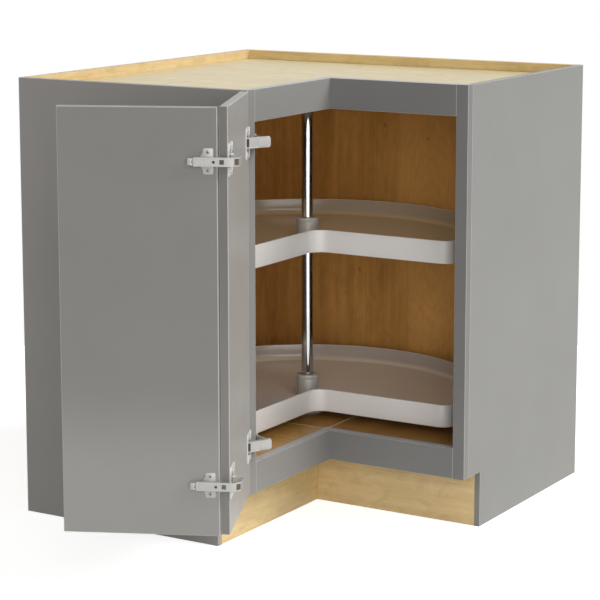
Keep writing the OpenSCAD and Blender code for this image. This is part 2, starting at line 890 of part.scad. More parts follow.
fold_cup(hinge_zs[0]);  // fold_cup_upper
fold_cup(hinge_zs[1]);  // fold_cup_lower
cup_pins();
fold_pins();
leaf_a_screws();
door_leaf_b();
fold_plate(hinge_zs[0]);  // fold_plate_upper
fold_plate(hinge_zs[1]);  // fold_plate_lower
fold_arm(hinge_zs[0]);  // fold_arm_upper
fold_arm(hinge_zs[1]);  // fold_arm_lower
fold_clip(hinge_zs[0]);  // fold_clip_upper
fold_clip(hinge_zs[1]);  // fold_clip_lower
leaf_b_screws();
arm_screws();
tray(tray_zs[0]);  // tray_upper
tray(tray_zs[1]);  // tray_lower
hub(tray_zs[0]);  // hub_upper
hub(tray_zs[1]);  // hub_lower
hub_screws(tray_zs[0]);  // hub_screws_upper
hub_screws(tray_zs[1]);  // hub_screws_lower
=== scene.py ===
"""Dressed corner base cabinet: folding doors and two turning trays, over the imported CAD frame."""
import json
import math

import bmesh
import bpy
from mathutils import Matrix, Vector

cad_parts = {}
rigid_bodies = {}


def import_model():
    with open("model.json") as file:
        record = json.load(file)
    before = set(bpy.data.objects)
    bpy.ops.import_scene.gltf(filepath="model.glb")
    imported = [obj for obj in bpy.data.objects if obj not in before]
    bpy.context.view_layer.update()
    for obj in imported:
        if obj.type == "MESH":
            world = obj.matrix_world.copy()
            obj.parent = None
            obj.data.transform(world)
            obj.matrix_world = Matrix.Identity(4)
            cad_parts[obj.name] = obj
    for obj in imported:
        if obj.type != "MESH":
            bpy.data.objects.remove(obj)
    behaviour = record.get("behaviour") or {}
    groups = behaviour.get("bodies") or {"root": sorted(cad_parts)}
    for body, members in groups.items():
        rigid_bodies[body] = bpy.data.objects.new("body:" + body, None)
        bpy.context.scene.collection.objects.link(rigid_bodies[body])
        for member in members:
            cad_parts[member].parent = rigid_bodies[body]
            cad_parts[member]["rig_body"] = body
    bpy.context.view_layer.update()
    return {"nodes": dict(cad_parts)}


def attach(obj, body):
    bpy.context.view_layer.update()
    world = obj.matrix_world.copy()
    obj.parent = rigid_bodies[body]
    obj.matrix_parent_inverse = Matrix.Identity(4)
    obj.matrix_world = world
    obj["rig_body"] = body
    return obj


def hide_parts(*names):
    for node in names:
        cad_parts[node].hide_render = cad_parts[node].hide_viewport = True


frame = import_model()

MM = 0.001
TO_M = Matrix.Scale(MM, 4)
STAY = Matrix.Identity(4)

# Camera, from the photograph's perspective
CAMERA_AT = Vector((2.637393, -4.133964, 1.251372))
CAMERA_AZIMUTH = -0.5433088
CAMERA_ELEVATION = 0.1649499
CAMERA_ROLL = -0.0008094
CAMERA_LENS = 128.977
CAMERA_SENSOR = 36.0
CAMERA_SHIFT_Y = -0.1
CAMERA_CLIP = 100.0

# Light and stage
WORLD_LEVEL = 0.18
WORLD_COLOUR = (0.99, 0.995, 1.0, 1)
KEY_ENERGY = 2.5
KEY_FROM = Vector((0.76, 0.27, 0.58))
KEY_ANGLE = 32.0
KEY_COLOUR = (1.0, 0.985, 0.96)
FILL_ENERGY = 1.82
FILL_FROM = Vector((0.62, -0.78, 0.22))
FILL_ANGLE = 54.0
FILL_COLOUR = (1.0, 0.99, 0.975)
FLOOR_AT = (0.5, -0.6, -0.0005)
FLOOR_R = 1.8
FLOOR_SIDES = 96
FLOOR_COLOUR = (0.80, 0.80, 0.79, 1)
FLOOR_ROUGH = 0.9
FLOOR_GLOW = 0.76

# Main sizes, in millimetres, as in the part's source
FRAME_IN = 511.0
STILE_EDGE = 805.0
DOOR_IN = 533.0
HINGE_EDGE = 817.0
LEAF_A_END = 545.0
LEAF_B_START = 549.5
HINGE_ZS = (782.5, 212.5)
POLE_SET = 400.0
POLE_D = 24.0
POLE_LOW = 171.0
POLE_HIGH = 841.5
TRAY_ZS = {"upper": 515.0, "lower": 186.0}
TRAY_R = 355.0
RIM_H = 45.5
RIM_T = 3.0
TRAY_RAISE = 9.0
TRAY_FLOOR_T = 3.0
NOTCH_SET = 50.0
NOTCH_R = 32.0
TIP_R = 25.0
HUB_D = 44.5
HUB_TOP = 60.0

# Pins of the hinges with the doors closed, and the turns to the photographed pose in degrees
ARM_PIN = (523.0, -795.0)
INNER_LEN = 43.1
INNER_DIR = math.radians(127.9)
KNEE_PIN = (ARM_PIN[0] + INNER_LEN * math.cos(INNER_DIR),
            ARM_PIN[1] + INNER_LEN * math.sin(INNER_DIR))
CUP_PIN = (537.75, -790.5)
FOLD_PIN = (529.0, -561.0)
INNER_TURN = 152.6
OUTER_TURN = 73.7
LEAF_TURN = 76.1


def turn(pin, degrees):
    """Turn about an upright pin, in millimetres."""
    at = Matrix.Translation((pin[0], pin[1], 0))
    return at @ Matrix.Rotation(math.radians(degrees), 4, "Z") @ at.inverted()


ON_INNER = turn(ARM_PIN, -INNER_TURN)
ON_OUTER = ON_INNER @ turn(KNEE_PIN, OUTER_TURN)
ON_DOORS = ON_OUTER @ turn(CUP_PIN, -LEAF_TURN)


# Materials

WHITE = (1, 1, 1, 1)
BLACK = (0, 0, 0, 1)


def srgb(r, g, b):
    """Linear colour of an sRGB triple."""
    def linear(c):
        c /= 255.0
        return c / 12.92 if c <= 0.04045 else ((c + 0.055) / 1.055) ** 2.4
    return (linear(r), linear(g), linear(b), 1.0)


def grey(level):
    return (level, level, level, 1)


def shade(colour, factor):
    return tuple(min(1.0, c * factor) for c in colour[:3]) + (1.0,)


class Shader:
    """A material with a principled shader, built up node by node in the piece's own coordinates."""

    def __init__(self, name):
        self.material = bpy.data.materials.new(name)
        self.material.use_nodes = True
        self.tree = self.material.node_tree
        self.shader = self.tree.nodes["Principled BSDF"]
        self.coords = self.tree.nodes.new("ShaderNodeTexCoord").outputs["Object"]

    def fill(self, node, values):
        """Sets inputs by name, with an underscore for each space."""
        for key, value in values.items():
            node.inputs[key.replace("_", " ")].default_value = value
        return node

    def set(self, **values):
        self.fill(self.shader, values)

    def node(self, kind, **values):
        return self.fill(self.tree.nodes.new("ShaderNode" + kind), values)

    def link(self, out, to):
        self.tree.links.new(out, to)

    def mapped(self, scale=(1, 1, 1), rotate=(0, 0, 0), move=(0, 0, 0)):
        node = self.node("Mapping", Scale=scale, Rotation=rotate, Location=move)
        self.link(self.coords, node.inputs["Vector"])
        return node.outputs["Vector"]

    def noise(self, vector, scale, detail=3.0, rough=0.5, distort=0.0):
        node = self.node("TexNoise", Scale=scale, Detail=detail, Roughness=rough,
                         Distortion=distort)
        self.link(vector, node.inputs["Vector"])
        return node.outputs["Fac"]

    def rings(self, vector, scale, distort, detail, detail_scale):
        node = self.node("TexWave", Scale=scale, Distortion=distort, Detail=detail,
                         Detail_Scale=detail_scale)
        node.wave_type = "RINGS"
        node.rings_direction = "SPHERICAL"
        self.link(vector, node.inputs["Vector"])
        return node.outputs["Fac"]

    def ramp(self, factor, *stops):
        """A colour ramp through (place, colour) stops."""
        node = self.node("ValToRGB")
        ramp = node.color_ramp
        while len(ramp.elements) < len(stops):
            ramp.elements.new(0.5)
        for element, (place, colour) in zip(ramp.elements, stops):
            element.position = place
            element.color = colour
        self.link(factor, node.inputs["Fac"])
        return node.outputs["Color"]

    def blend(self, factor, a, b, mode="MIX"):
        """Mixes two colours; each of the three may be a value or an output."""
        node = self.node("Mix")
        node.data_type = "RGBA"
        node.blend_type = mode
        for name, value in (("Factor", factor), ("A", a), ("B", b)):
            socket = [s for s in node.inputs if s.name == name and s.enabled][0]
            if isinstance(value, (int, float, tuple)):
                socket.default_value = value
            else:
                self.link(value, socket)
        return [s for s in node.outputs if s.enabled][0]

    def height(self, low, high):
        """0 to 1 between two heights in metres, eased at both ends."""
        split = self.node("SeparateXYZ")
        self.link(self.coords, split.inputs["Vector"])
        node = self.node("MapRange", From_Min=low, From_Max=high)
        node.interpolation_type = "SMOOTHERSTEP"
        self.link(split.outputs["Z"], node.inputs["Value"])
        return node.outputs["Result"]

    def spot(self, centre, reach):
        """1 at a point, falling to 0 at a distance given in metres for each axis.

        The second result is the place as seen from the point, in such distances."""
        node = self.node("Mapping", Location=centre, Scale=reach)
        node.vector_type = "TEXTURE"
        self.link(self.coords, node.inputs["Vector"])
        ball = self.node("TexGradient")
        ball.gradient_type = "SPHERICAL"
        self.link(node.outputs["Vector"], ball.inputs["Vector"])
        return ball.outputs["Fac"], node.outputs["Vector"]

    def colour(self, out):
        self.link(out, self.shader.inputs["Base Color"])

    def rough(self, factor, low, high):
        node = self.node("MapRange", To_Min=low, To_Max=high)
        self.link(factor, node.inputs["Value"])
        self.link(node.outputs["Result"], self.shader.inputs["Roughness"])

    def bump(self, height, strength, distance):
        """Adds a bump on top of those that are there."""
        node = self.node("Bump", Strength=strength, Distance=distance)
        self.link(height, node.inputs["Height"])
        old = self.shader.inputs["Normal"].links
        if old:
            self.link(old[0].from_socket, node.inputs["Normal"])
        self.link(node.outputs["Normal"], self.shader.inputs["Normal"])


def paint(name, colour, painted_light_by_height=None):
    """Sprayed satin paint: fine orange peel, faint clouding, and painted light and shade by height.

    Painted light and shade by height take two heights in metres and the tone below the first
    and above the second."""
    s = Shader(name)
    s.set(Specular_IOR_Level=0.35)
    cloud = s.noise(s.mapped(), scale=5.0, detail=4.0, rough=0.55)
    speck = s.noise(s.mapped(), scale=900.0, detail=2.0, rough=0.6)
    base = s.ramp(cloud, (0.30, shade(colour, 0.965)), (0.70, shade(colour, 1.035)))
    fine = s.ramp(speck, (0.35, grey(0.94)), (0.65, WHITE))
    toned = s.blend(0.6, base, fine, "MULTIPLY")
    # Painted light and shade: the colour is multiplied by a tone that changes between two heights.
    if painted_light_by_height:
        low, high, foot, head = painted_light_by_height
        tone = s.ramp(s.height(low, high), (0.0, grey(foot)), (1.0, grey(head)))
        toned = s.blend(1.0, toned, tone, "MULTIPLY")
    s.colour(toned)
    s.rough(s.noise(s.mapped(), scale=14.0), low=0.34, high=0.46)
    s.bump(s.noise(s.mapped(), scale=420.0, detail=2.0), strength=0.10, distance=0.0006)
    s.bump(speck, strength=0.05, distance=0.0003)
    return s.material


def wood(name, light, dark, along, figure=0.5, pores=0.35, gloss=(0.32, 0.45), tilt=0.0,
         seed=0.0, heart=None, knots=()):
    """Maple veneer: streaks along one axis, drifting patches, pores, a cathedral and small knots.

    figure is the share of the broad patches, and tilt leans the grain by an angle in radians.
    heart is the cathedral's centre and its reach along each axis, in metres, and a knot is its
    centre and radius."""
    s = Shader(name)
    s.set(Specular_IOR_Level=0.4)
    axis = "xyz".index(along)
    turned = (0.0, tilt, 0.0) if along == "z" else (0.0, 0.0, tilt)

    def grain(share, move=(0, 0, 0)):
        """Coordinates drawn out along the grain: a small share makes long streaks."""
        scale = [1.0, 1.0, 1.0]
        scale[axis] = share
        return s.mapped(tuple(scale), turned, move)

    streak = s.noise(grain(0.035, (seed, 2 * seed, seed)), scale=70.0, detail=8.0, rough=0.68,
                     distort=0.25)
    broad = s.noise(grain(0.30, (seed, seed, seed)), scale=6.5, detail=4.0, rough=0.55,
                    distort=1.2)
    cloud = s.noise(grain(0.45, (2 * seed, seed, seed)), scale=30.0, detail=6.0, rough=0.62,
                    distort=1.4)
    pore = s.noise(grain(0.02), scale=800.0, rough=0.6)
    mid = tuple((a + b) / 2 for a, b in zip(light, dark))
    tone = s.ramp(streak, (0.32, dark), (0.50, mid), (0.68, light))
    wide = s.ramp(broad, (0.30, dark), (0.50, mid), (0.70, shade(light, 1.06)))
    colour = s.blend(figure, tone, wide)
    curl = s.ramp(cloud, (0.34, (0.80, 0.77, 0.74, 1)), (0.50, (0.93, 0.92, 0.91, 1)),
                  (0.66, WHITE))
    colour = s.blend(0.8, colour, curl, "MULTIPLY")
    chip = s.ramp(pore, (0.38, (0.78, 0.72, 0.66, 1)), (0.50, WHITE))
    colour = s.blend(pores, colour, chip, "MULTIPLY")
    if heart:
        near, vector = s.spot(*heart)
        wave = s.rings(vector, scale=3.4, distort=11.0, detail=5.0, detail_scale=1.6)
        ring = s.ramp(wave, (0.05, (0.95, 0.93, 0.91, 1)), (0.60, WHITE))
        glow = s.ramp(near, (0.0, BLACK), (0.5, grey(0.55)))
        lined = s.blend(1.0, s.blend(glow, colour, shade(light, 1.12)), ring, "MULTIPLY")
        colour = s.blend(s.ramp(near, (0.02, BLACK), (0.35, WHITE)), colour, lined)
    for centre, reach in knots:
        near, _ = s.spot(centre, (reach, 1.0, 1.5 * reach))
        eye = s.ramp(near, (0.0, WHITE), (0.45, (0.90, 0.86, 0.82, 1)),
                     (0.75, (0.66, 0.56, 0.46, 1)))
        colour = s.blend(1.0, colour, eye, "MULTIPLY")
    s.colour(colour)
    s.rough(streak, *gloss)
    s.bump(pore, strength=0.12, distance=0.0004)
    s.bump(streak, strength=0.06, distance=0.0008)
    return s.material


def plastic(name, colour, gloss=(0.30, 0.40), sheen=0.0, floor=None):
    """Moulded plastic with a fine grain, flow marks and some light inside it.

    A floor gives its height in metres, its tone at the back and at the front, and the place of
    the front. Up to its fillet the floor is painted browner and darker toward the back and
    lighter at the front: painted shade and a painted reflection of the wood."""
    s = Shader(name)
    s.set(Specular_IOR_Level=0.5, Subsurface_Weight=sheen)
    if sheen:
        s.set(Subsurface_Scale=0.008, Subsurface_Radius=(1.0, 0.9, 0.8))
    flow = s.noise(s.mapped(), scale=7.0, detail=4.0, distort=0.8)
    grain = s.noise(s.mapped(), scale=1300.0, detail=2.0)
    base = s.ramp(flow, (0.30, shade(colour, 0.97)), (0.70, shade(colour, 1.03)))
    if floor:
        # Painted shade and painted reflection: the floor darkens and browns toward the back and
        # lightens at the front.
        level, back, front, centre = floor
        near, _ = s.spot(centre, (0.55, 0.55, 1.0))
        ground = s.blend(near, back, front)
        base = s.blend(s.height(level, level + 0.012), ground, base)
    s.colour(base)
    s.rough(grain, *gloss)
    s.bump(grain, strength=0.06, distance=0.0002)
    s.bump(flow, strength=0.03, distance=0.002)
    return s.material


def metal(name, colour, gloss, metallic=1.0):
    """Plated steel: faint stains, fine rubbing marks and uneven polish."""
    s = Shader(name)
    s.set(Metallic=metallic)
    stain = s.noise(s.mapped(), scale=60.0, detail=4.0, rough=0.6, distort=0.6)
    rub = s.noise(s.mapped((1, 1, 0.1)), scale=1500.0, rough=0.6)
    s.colour(s.ramp(stain, (0.30, shade(colour, 0.93)), (0.65, colour)))
    s.rough(stain, *gloss)
    s.bump(rub, strength=0.03, distance=0.0002)
    return s.material


FLOOR_FRONT = (0.50, -0.56)
UPPER_FLOOR_Z = 0.527
LOWER_FLOOR_Z = 0.198
FLOOR_WOOD_GLOSS = (0.25, 0.36)

MATERIALS = {
    "dark_paint": paint("Paint_end", srgb(148, 145, 142)),
    # Right end panel: a darker copy of the end panel paint, darker still toward the bottom: painted
    # shade.
    "light_paint": paint("Paint_panel_painted_shade", srgb(133, 133, 130), (0.05, 0.50, 0.90, 1.01)),
    "door_paint": paint("Paint_door", srgb(154, 152, 149)),
    # Leaf B: a darker copy of the door paint as painted shade, lighter toward the bottom as a
    # painted reflection of the floor.
    "leaf_b_painted_shade_and_reflection": paint("Paint_leaf_b_painted_shade_and_reflection", srgb(130, 129, 126), (0.20, 0.42, 1.30, 0.93)),
    # Leaf A's fold end: a darker copy of the door paint as painted shade, lighter toward the bottom
    # and darker toward the top.
    "fold_end_painted_shade": paint("Paint_leaf_end_painted_shade", srgb(118, 116, 113), (0.30, 0.70, 1.12, 0.86)),
    "frame_paint": paint("Paint_frame", srgb(131, 130, 128)),
    "shaded_paint": paint("Paint_frame_right", srgb(119, 118, 117)),
    # The eased edges of painted boards: a lighter paint as painted highlight.
    "edge_paint": paint("Paint_edge_painted_highlight", srgb(170, 168, 164)),
    # The frame's upward faces: a lighter, cooler paint as painted light.
    "ledge_painted_light": paint("Paint_ledge_painted_light", srgb(182, 184, 187)),
    "inner_wood": wood("Maple_inner", srgb(238, 181, 105), srgb(190, 135, 64), "z", figure=0.55,
                       tilt=0.03, heart=((0.480, -0.005, 0.530), (0.13, 0.6, 0.42)),
                       knots=(((0.363, -0.005, 0.724), 0.007), ((0.470, -0.005, 0.700), 0.005),
                              ((0.300, -0.005, 0.395), 0.006))),
    "side_wood": wood("Maple_side", srgb(222, 166, 92), srgb(182, 126, 58), "z", seed=3.1),
    "floor_wood": wood("Maple_floor", srgb(206, 160, 92), srgb(168, 120, 58), "y", pores=0.3,
                       gloss=FLOOR_WOOD_GLOSS, seed=5.2),
    "cross_floor_wood": wood("Maple_cross", srgb(216, 170, 94), srgb(168, 118, 52), "x",
                             pores=0.3, gloss=FLOOR_WOOD_GLOSS, seed=6.4),
    "corner_floor_wood": wood("Maple_corner", srgb(192, 144, 74), srgb(148, 102, 42), "x",
                              pores=0.3, gloss=FLOOR_WOOD_GLOSS, seed=9.7),
    "right_floor_wood": wood("Maple_floor_right", srgb(184, 138, 72), srgb(146, 101, 44), "y",
                             pores=0.3, gloss=FLOOR_WOOD_GLOSS, seed=8.3),
    "seam_wood": wood("Maple_seam", srgb(246, 226, 190), srgb(226, 200, 156), "x", figure=0.3,
                      pores=0.2),
    "pale_wood": wood("Maple_top", srgb(236, 222, 180), srgb(223, 206, 159), "x", figure=0.35,
                      pores=0.25, seed=1.7),
    "rail_wood": wood("Maple_rail", srgb(222, 200, 154), srgb(202, 174, 122), "y", pores=0.3,
                      seed=2.3),
    "cross_rail_wood": wood("Maple_back_rail", srgb(236, 212, 154), srgb(210, 180, 120), "x",
                            pores=0.3, seed=2.9),
    "toe_wood": wood("Maple_toe", srgb(228, 203, 153), srgb(208, 180, 128), "x", figure=0.3,
                     seed=4.4),
    "cross_toe_wood": wood("Maple_toe_left", srgb(226, 203, 152), srgb(210, 184, 130), "y",
                           figure=0.3, seed=7.7),
    "chrome": metal("Chrome", srgb(208, 209, 209), (0.08, 0.15)),
    "steel": metal("Nickel", srgb(173, 172, 169), (0.34, 0.48), metallic=0.30),
    # The cups: a lighter, less metallic copy of the hinge nickel as painted light.
    "cup_steel_painted_light": metal("Nickel_cup_painted_light", srgb(214, 214, 212), (0.30, 0.44), metallic=0.2),
    # A dark brown sheet in the arm's knuckle hollow: painted shade.
    "hollow_painted_shade": metal("Nickel_hollow_painted_shade", srgb(88, 77, 62), (0.4, 0.5), metallic=0.3),
    # Near-black for the screw recesses, the arm screws' hollows and the link's mouth: painted
    # shade.
    "recess": plastic("Recess_painted_shade", srgb(40, 39, 37), (0.6, 0.8)),
    "socket_plastic": plastic("Socket", srgb(170, 165, 156)),
    "hub_plastic": plastic("Hub", srgb(180, 175, 166), (0.34, 0.44), sheen=0.5),
    "tray_plastic": plastic("Tray", srgb(218, 215, 212), (0.36, 0.44)),
    # The trays' insides: tan walls and a floor browner at the back and lighter at the front,
    # painted shade and a painted reflection of the wood.
    "upper_inside_painted_shade_and_reflection": plastic("Tray_inside_upper_painted_shade_and_reflection", srgb(193, 178, 158), (0.17, 0.23),
                                    floor=(UPPER_FLOOR_Z, srgb(234, 205, 158),
                                           srgb(253, 246, 222), (*FLOOR_FRONT, UPPER_FLOOR_Z))),
    "lower_inside_painted_shade_and_reflection": plastic("Tray_inside_lower_painted_shade_and_reflection", srgb(193, 181, 171), (0.18, 0.24),
                                    floor=(LOWER_FLOOR_Z, srgb(242, 226, 202),
                                           srgb(255, 255, 255), (*FLOOR_FRONT, LOWER_FLOOR_Z))),
}


# Pieces

def finish(bm, name, node, materials, smooth):
    """Turns a mesh in metres into a piece that stands for a node and rides on its body.

    Edges flatter than the smooth angle, in degrees, are shaded smooth."""
    mesh = bpy.data.meshes.new(name)
    bmesh.ops.recalc_face_normals(bm, faces=bm.faces)
    bm.to_mesh(mesh)
    bm.free()
    for material in materials:
        mesh.materials.append(MATERIALS[material])
    piece = bpy.data.objects.new(name, mesh)
    bpy.context.scene.collection.objects.link(piece)
    mesh.shade_smooth()
    mesh.set_sharp_from_angle(angle=math.radians(smooth))
    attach(piece, frame["nodes"][node]["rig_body"])
    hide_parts(node)


TINY = 1e-9
MERGE = 1e-6
COPLANAR = 0.01
SHARP = 0.5
SHORTEST_EASED = 40.0
FACING = 0.999
BOARD_SMOOTH = 10


def board(node, slot, material, width, edge=None, end=None, steps=2):
    """A CAD board with eased edges, which may have a material of their own.

    An end gives the direction of faces that take another paint, and that paint: painted light on
    the frame's tops, painted shade on leaf A's fold end."""
    bm = bmesh.new()
    bm.from_mesh(frame["nodes"][node].data)
    bmesh.ops.remove_doubles(bm, verts=bm.verts, dist=MERGE)
    bmesh.ops.dissolve_limit(bm, angle_limit=COPLANAR, verts=bm.verts, edges=bm.edges)
    for face in bm.faces:
        face.material_index = 0
    sharp = [e for e in bm.edges if len(e.link_faces) == 2 and e.is_convex
             and e.calc_length() > SHORTEST_EASED * MM and e.calc_face_angle(0) > SHARP]
    made = bmesh.ops.bevel(bm, geom=sharp, offset=width * MM, segments=steps, profile=0.5,
                           affect="EDGES", clamp_overlap=True)
    for face in made["faces"]:
        face.material_index = 1
    materials = [material, edge or material]
    if end:
        way, light_and_shade_paint = end
        materials.append(light_and_shade_paint)
        for face in bm.faces:
            if face.material_index == 0 and face.normal.dot(way) > FACING:
                face.material_index = 2
    finish(bm, node + "_board", node, materials, BOARD_SMOOTH)


# Node, slot, material, width of the eased edges in millimetres and their material
BOARDS = [
    # The painted boards' eased edges take the lighter edge paint: painted highlight.
    ("left_end_panel", "dark_paint", "dark_paint", 0.9, "edge_paint"),
    ("right_end_panel", "light_paint", "light_paint", 0.9, "edge_paint"),
    ("left_wall_panel", "inner_wood", "side_wood", 0.4),
    ("back_wall_panel", "inner_wood", "inner_wood", 0.4),
    ("left_hanging_rail", "rail_wood", "rail_wood", 0.8),
    ("back_hanging_rail", "rail_wood", "cross_rail_wood", 0.8),
    ("top_board", "pale_wood", "pale_wood", 0.5),
    ("floor_corner_board", "inner_wood", "corner_floor_wood", 1.5, "seam_wood"),
    ("floor_left_board", "inner_wood", "cross_floor_wood", 1.5, "seam_wood"),
    ("floor_right_board", "inner_wood", "right_floor_wood", 1.5, "seam_wood"),
    ("cleat_left_wall", "inner_wood", "floor_wood", 0.8),
    ("cleat_left_end", "inner_wood", "floor_wood", 0.8),
    ("cleat_back_wall", "inner_wood", "cross_floor_wood", 0.8),
    ("cleat_right_end", "inner_wood", "cross_floor_wood", 0.8),
    ("toe_board_left", "toe_wood", "cross_toe_wood", 0.8),
    ("toe_board_right", "toe_wood", "toe_wood", 0.8),
]
for row in BOARDS:
    board(*row)
# The frame's upward faces take a lighter paint: painted light.
UPWARD = (Vector((0, 0, 1)), "ledge_painted_light")
for place in ("left_stile", "top_rail_left", "bottom_rail_left"):
    board(place, "frame_paint", "frame_paint", 0.7, "edge_paint", UPWARD)
for place in ("right_stile", "top_rail_right", "bottom_rail_right"):
    board(place, "frame_paint", "shaded_paint", 0.7, "edge_paint", UPWARD)
# Leaf A's fold end faces take the darker paint: painted shade.
FOLD_END = (ON_DOORS.to_3x3() @ Vector((0, 1, 0)), "fold_end_painted_shade")
board("door_leaf_a", "door_paint", "door_paint", 1.4, "edge_paint", FOLD_END, steps=3)
board("door_leaf_b", "door_paint", "leaf_b_painted_shade_and_reflection", 1.4, "edge_paint", steps=3)


def arc(centre, radius, start, end, steps):
    """Points of an arc from one angle to another, in degrees, both ends included."""
    out = []
    for i in range(steps + 1):
        a = math.radians(start + (end - start) * i / steps)
        out.append((centre[0] + radius * math.cos(a), centre[1] + radius * math.sin(a)))
    return out


def rounded_box(x0, y0, x1, y1, r, steps=4):
    """Outline of a rectangle with round corners, anticlockwise."""
    points = []
    for cx, cy, start in ((x1 - r, y1 - r, 0), (x0 + r, y1 - r, 90),
                          (x0 + r, y0 + r, 180), (x1 - r, y0 + r, 270)):
        points += arc((cx, cy), r, start, start + 90, steps)
    return points


def bridge(bm, a, b, index=0):
    """Faces between two closed loops with as many points, in the piece's material of an index."""
    for i in range(len(a)):
        j = (i + 1) % len(a)
        bm.faces.new((a[i], a[j], b[j], b[i])).material_index = index


def box(bm, lo, hi, to=STAY, ease=0.0, index=0):
    """A box between two corners, with its edges eased."""
    centre = (Vector(lo) + Vector(hi)) / 2
    size = Vector(hi) - Vector(lo)
    place = to @ Matrix.Translation(centre) @ Matrix.Diagonal((*size, 1))
    verts = bmesh.ops.create_cube(bm, size=1.0, matrix=place)["verts"]
    for face in {f for v in verts for f in v.link_faces}:
        face.material_index = index
    if ease:
        edges = {e for v in verts for e in v.link_edges}
        eased = bmesh.ops.bevel(bm, geom=list(edges), offset=ease, segments=2, profile=0.5,
                                affect="EDGES")
        for face in eased["faces"]:
            face.material_index = index


def lathe(bm, profile, sides, at, closed=False):
    """Turns a profile of (radius, height) points about an upright axis."""
    loops = []
    for radius, height in profile:
        loops.append([bm.verts.new((at[0] + radius * math.cos(2 * math.pi * i / sides),
                                    at[1] + radius * math.sin(2 * math.pi * i / sides),
                                    at[2] + height)) for i in range(sides)])
    pairs = list(zip(loops, loops[1:]))
    if closed:
        pairs.append((loops[-1], loops[0]))
    for a, b in pairs:
        bridge(bm, a, b)
    if not closed:
        for end in (loops[0], loops[-1]):
            bm.faces.new(end)
    return [v for loop in loops for v in loop]


# Trays, hubs and pole

TIP_STEPS = 12
ROUND_STEPS = 150
NOTCH_STEPS = 16
EDGE_STEPS = 8
FILLET_R = 13.0
FILLET_STEP = 10
HUB_SIDES = 72
POLE_SIDES = 96
HUB_CLEAR = 0.05
HUB_PLAY = 0.1
HUB_FLANGE_R = 42.0
HUB_FLANGE_LOW = 6.0
HUB_GROOVE_AT = 52.1
RIBS = 8
RIB_FROM = 44.0
RIB_HALF = 1.25
RIB_FOOT = 2.0
RIB_SHORT = 2.0
RIB_SINK = 0.2
RIB_EASE = 0.3
TURNED_SMOOTH = 40


def tray_outline(inset):
    """Outline of a tray about its pole, drawn in by a distance, always with the same points."""
    tip = NOTCH_SET - TIP_R
    far = math.sqrt((TRAY_R - TIP_R) ** 2 - tip ** 2)
    lean = math.degrees(math.atan2(tip, far))
    corner = NOTCH_SET + NOTCH_R
    along = [far + (corner - far) * t / EDGE_STEPS for t in range(1, EDGE_STEPS)]
    points = []
    points += arc((far, -tip), TIP_R - inset, -90, -lean, TIP_STEPS)
    points += arc((0, 0), TRAY_R - inset, -lean, 270 + lean, ROUND_STEPS)[1:]
    points += arc((tip, -far), TIP_R - inset, 270 + lean, 360, TIP_STEPS)[1:]
    points += [(NOTCH_SET - inset, -place) for place in along]
    points += arc((corner, -corner), NOTCH_R + inset, 180, 90, NOTCH_STEPS)
    points += [(place, -NOTCH_SET + inset) for place in reversed(along)]
    return points


def tray_reach(angle):
    """Distance from the pole to the tray's outline in a direction."""
    best = TRAY_R
    points = tray_outline(0)
    way = Vector((math.cos(angle), math.sin(angle)))
    for a, b in zip(points, points[1:] + points[:1]):
        a, b = Vector(a), Vector(b)
        run = b - a
        den = way.x * run.y - way.y * run.x
        if abs(den) < TINY:
            continue
        t = (a.x * run.y - a.y * run.x) / den
        u = (a.x * way.y - a.y * way.x) / den
        if t > 0 and -MERGE <= u <= 1 + MERGE:
            best = min(best, t)
    return best


def tray(side, z):
    """A moulded tray: eased rim, inner fillet, flat floor round the hub, ribs below."""
    bm = bmesh.new()
    top = TRAY_RAISE + TRAY_FLOOR_T
    fillet = []
    for degrees in range(0, 91, FILLET_STEP):
        a = math.radians(degrees)
        fillet.append((RIM_T + FILLET_R * (1 - math.cos(a)), top + FILLET_R * (1 - math.sin(a))))
    # Points of inset and height, from the floor's underside round the rim to the floor's top
    profile = [(RIM_T, TRAY_RAISE), (RIM_T, 0.6), (RIM_T - 0.5, 0), (0.8, 0), (0.25, 0.25),
               (0, 0.9), (0, 14), (0, 28), (0, RIM_H - 1.3), (0.4, RIM_H - 0.4), (1.2, RIM_H),
               (RIM_T - 1.0, RIM_H), (RIM_T - 0.3, RIM_H - 0.35), (RIM_T, RIM_H - 1.1)] + fillet
    loops = [[bm.verts.new((x, y, height)) for x, y in tray_outline(inset)]
             for inset, height in profile]
    for i, (a, b) in enumerate(zip(loops, loops[1:])):
        bridge(bm, a, b, 1 if i >= len(loops) - len(fillet) - 1 else 0)
    holes = []
    for height, edge, index in ((top, loops[-1], 1), (TRAY_RAISE, loops[0], 0)):
        hole = []
        for v in edge:
            d = Vector((v.co.x, v.co.y)).normalized() * (HUB_D / 2 + HUB_CLEAR)
            hole.append(bm.verts.new((d.x, d.y, height)))
        bridge(bm, edge, hole, index)
        holes.append(hole)
    bridge(bm, holes[1], holes[0])
    for i in range(RIBS):
        angle = 2 * math.pi * (i + 0.5) / RIBS
        box(bm, (RIB_FROM, -RIB_HALF, RIB_FOOT),
            (tray_reach(angle) - RIB_SHORT, RIB_HALF, TRAY_RAISE + RIB_SINK),
            Matrix.Rotation(angle, 4, "Z"), RIB_EASE)
    bm.transform(TO_M @ Matrix.Translation((POLE_SET, -POLE_SET, z)))
    # The inner wall, fillet and floor take the inside plastic, with its painted shade and painted
    # reflection.
    finish(bm, "Tray_" + side, "tray_" + side,
           ["tray_plastic", side + "_inside_painted_shade_and_reflection"], TURNED_SMOOTH)


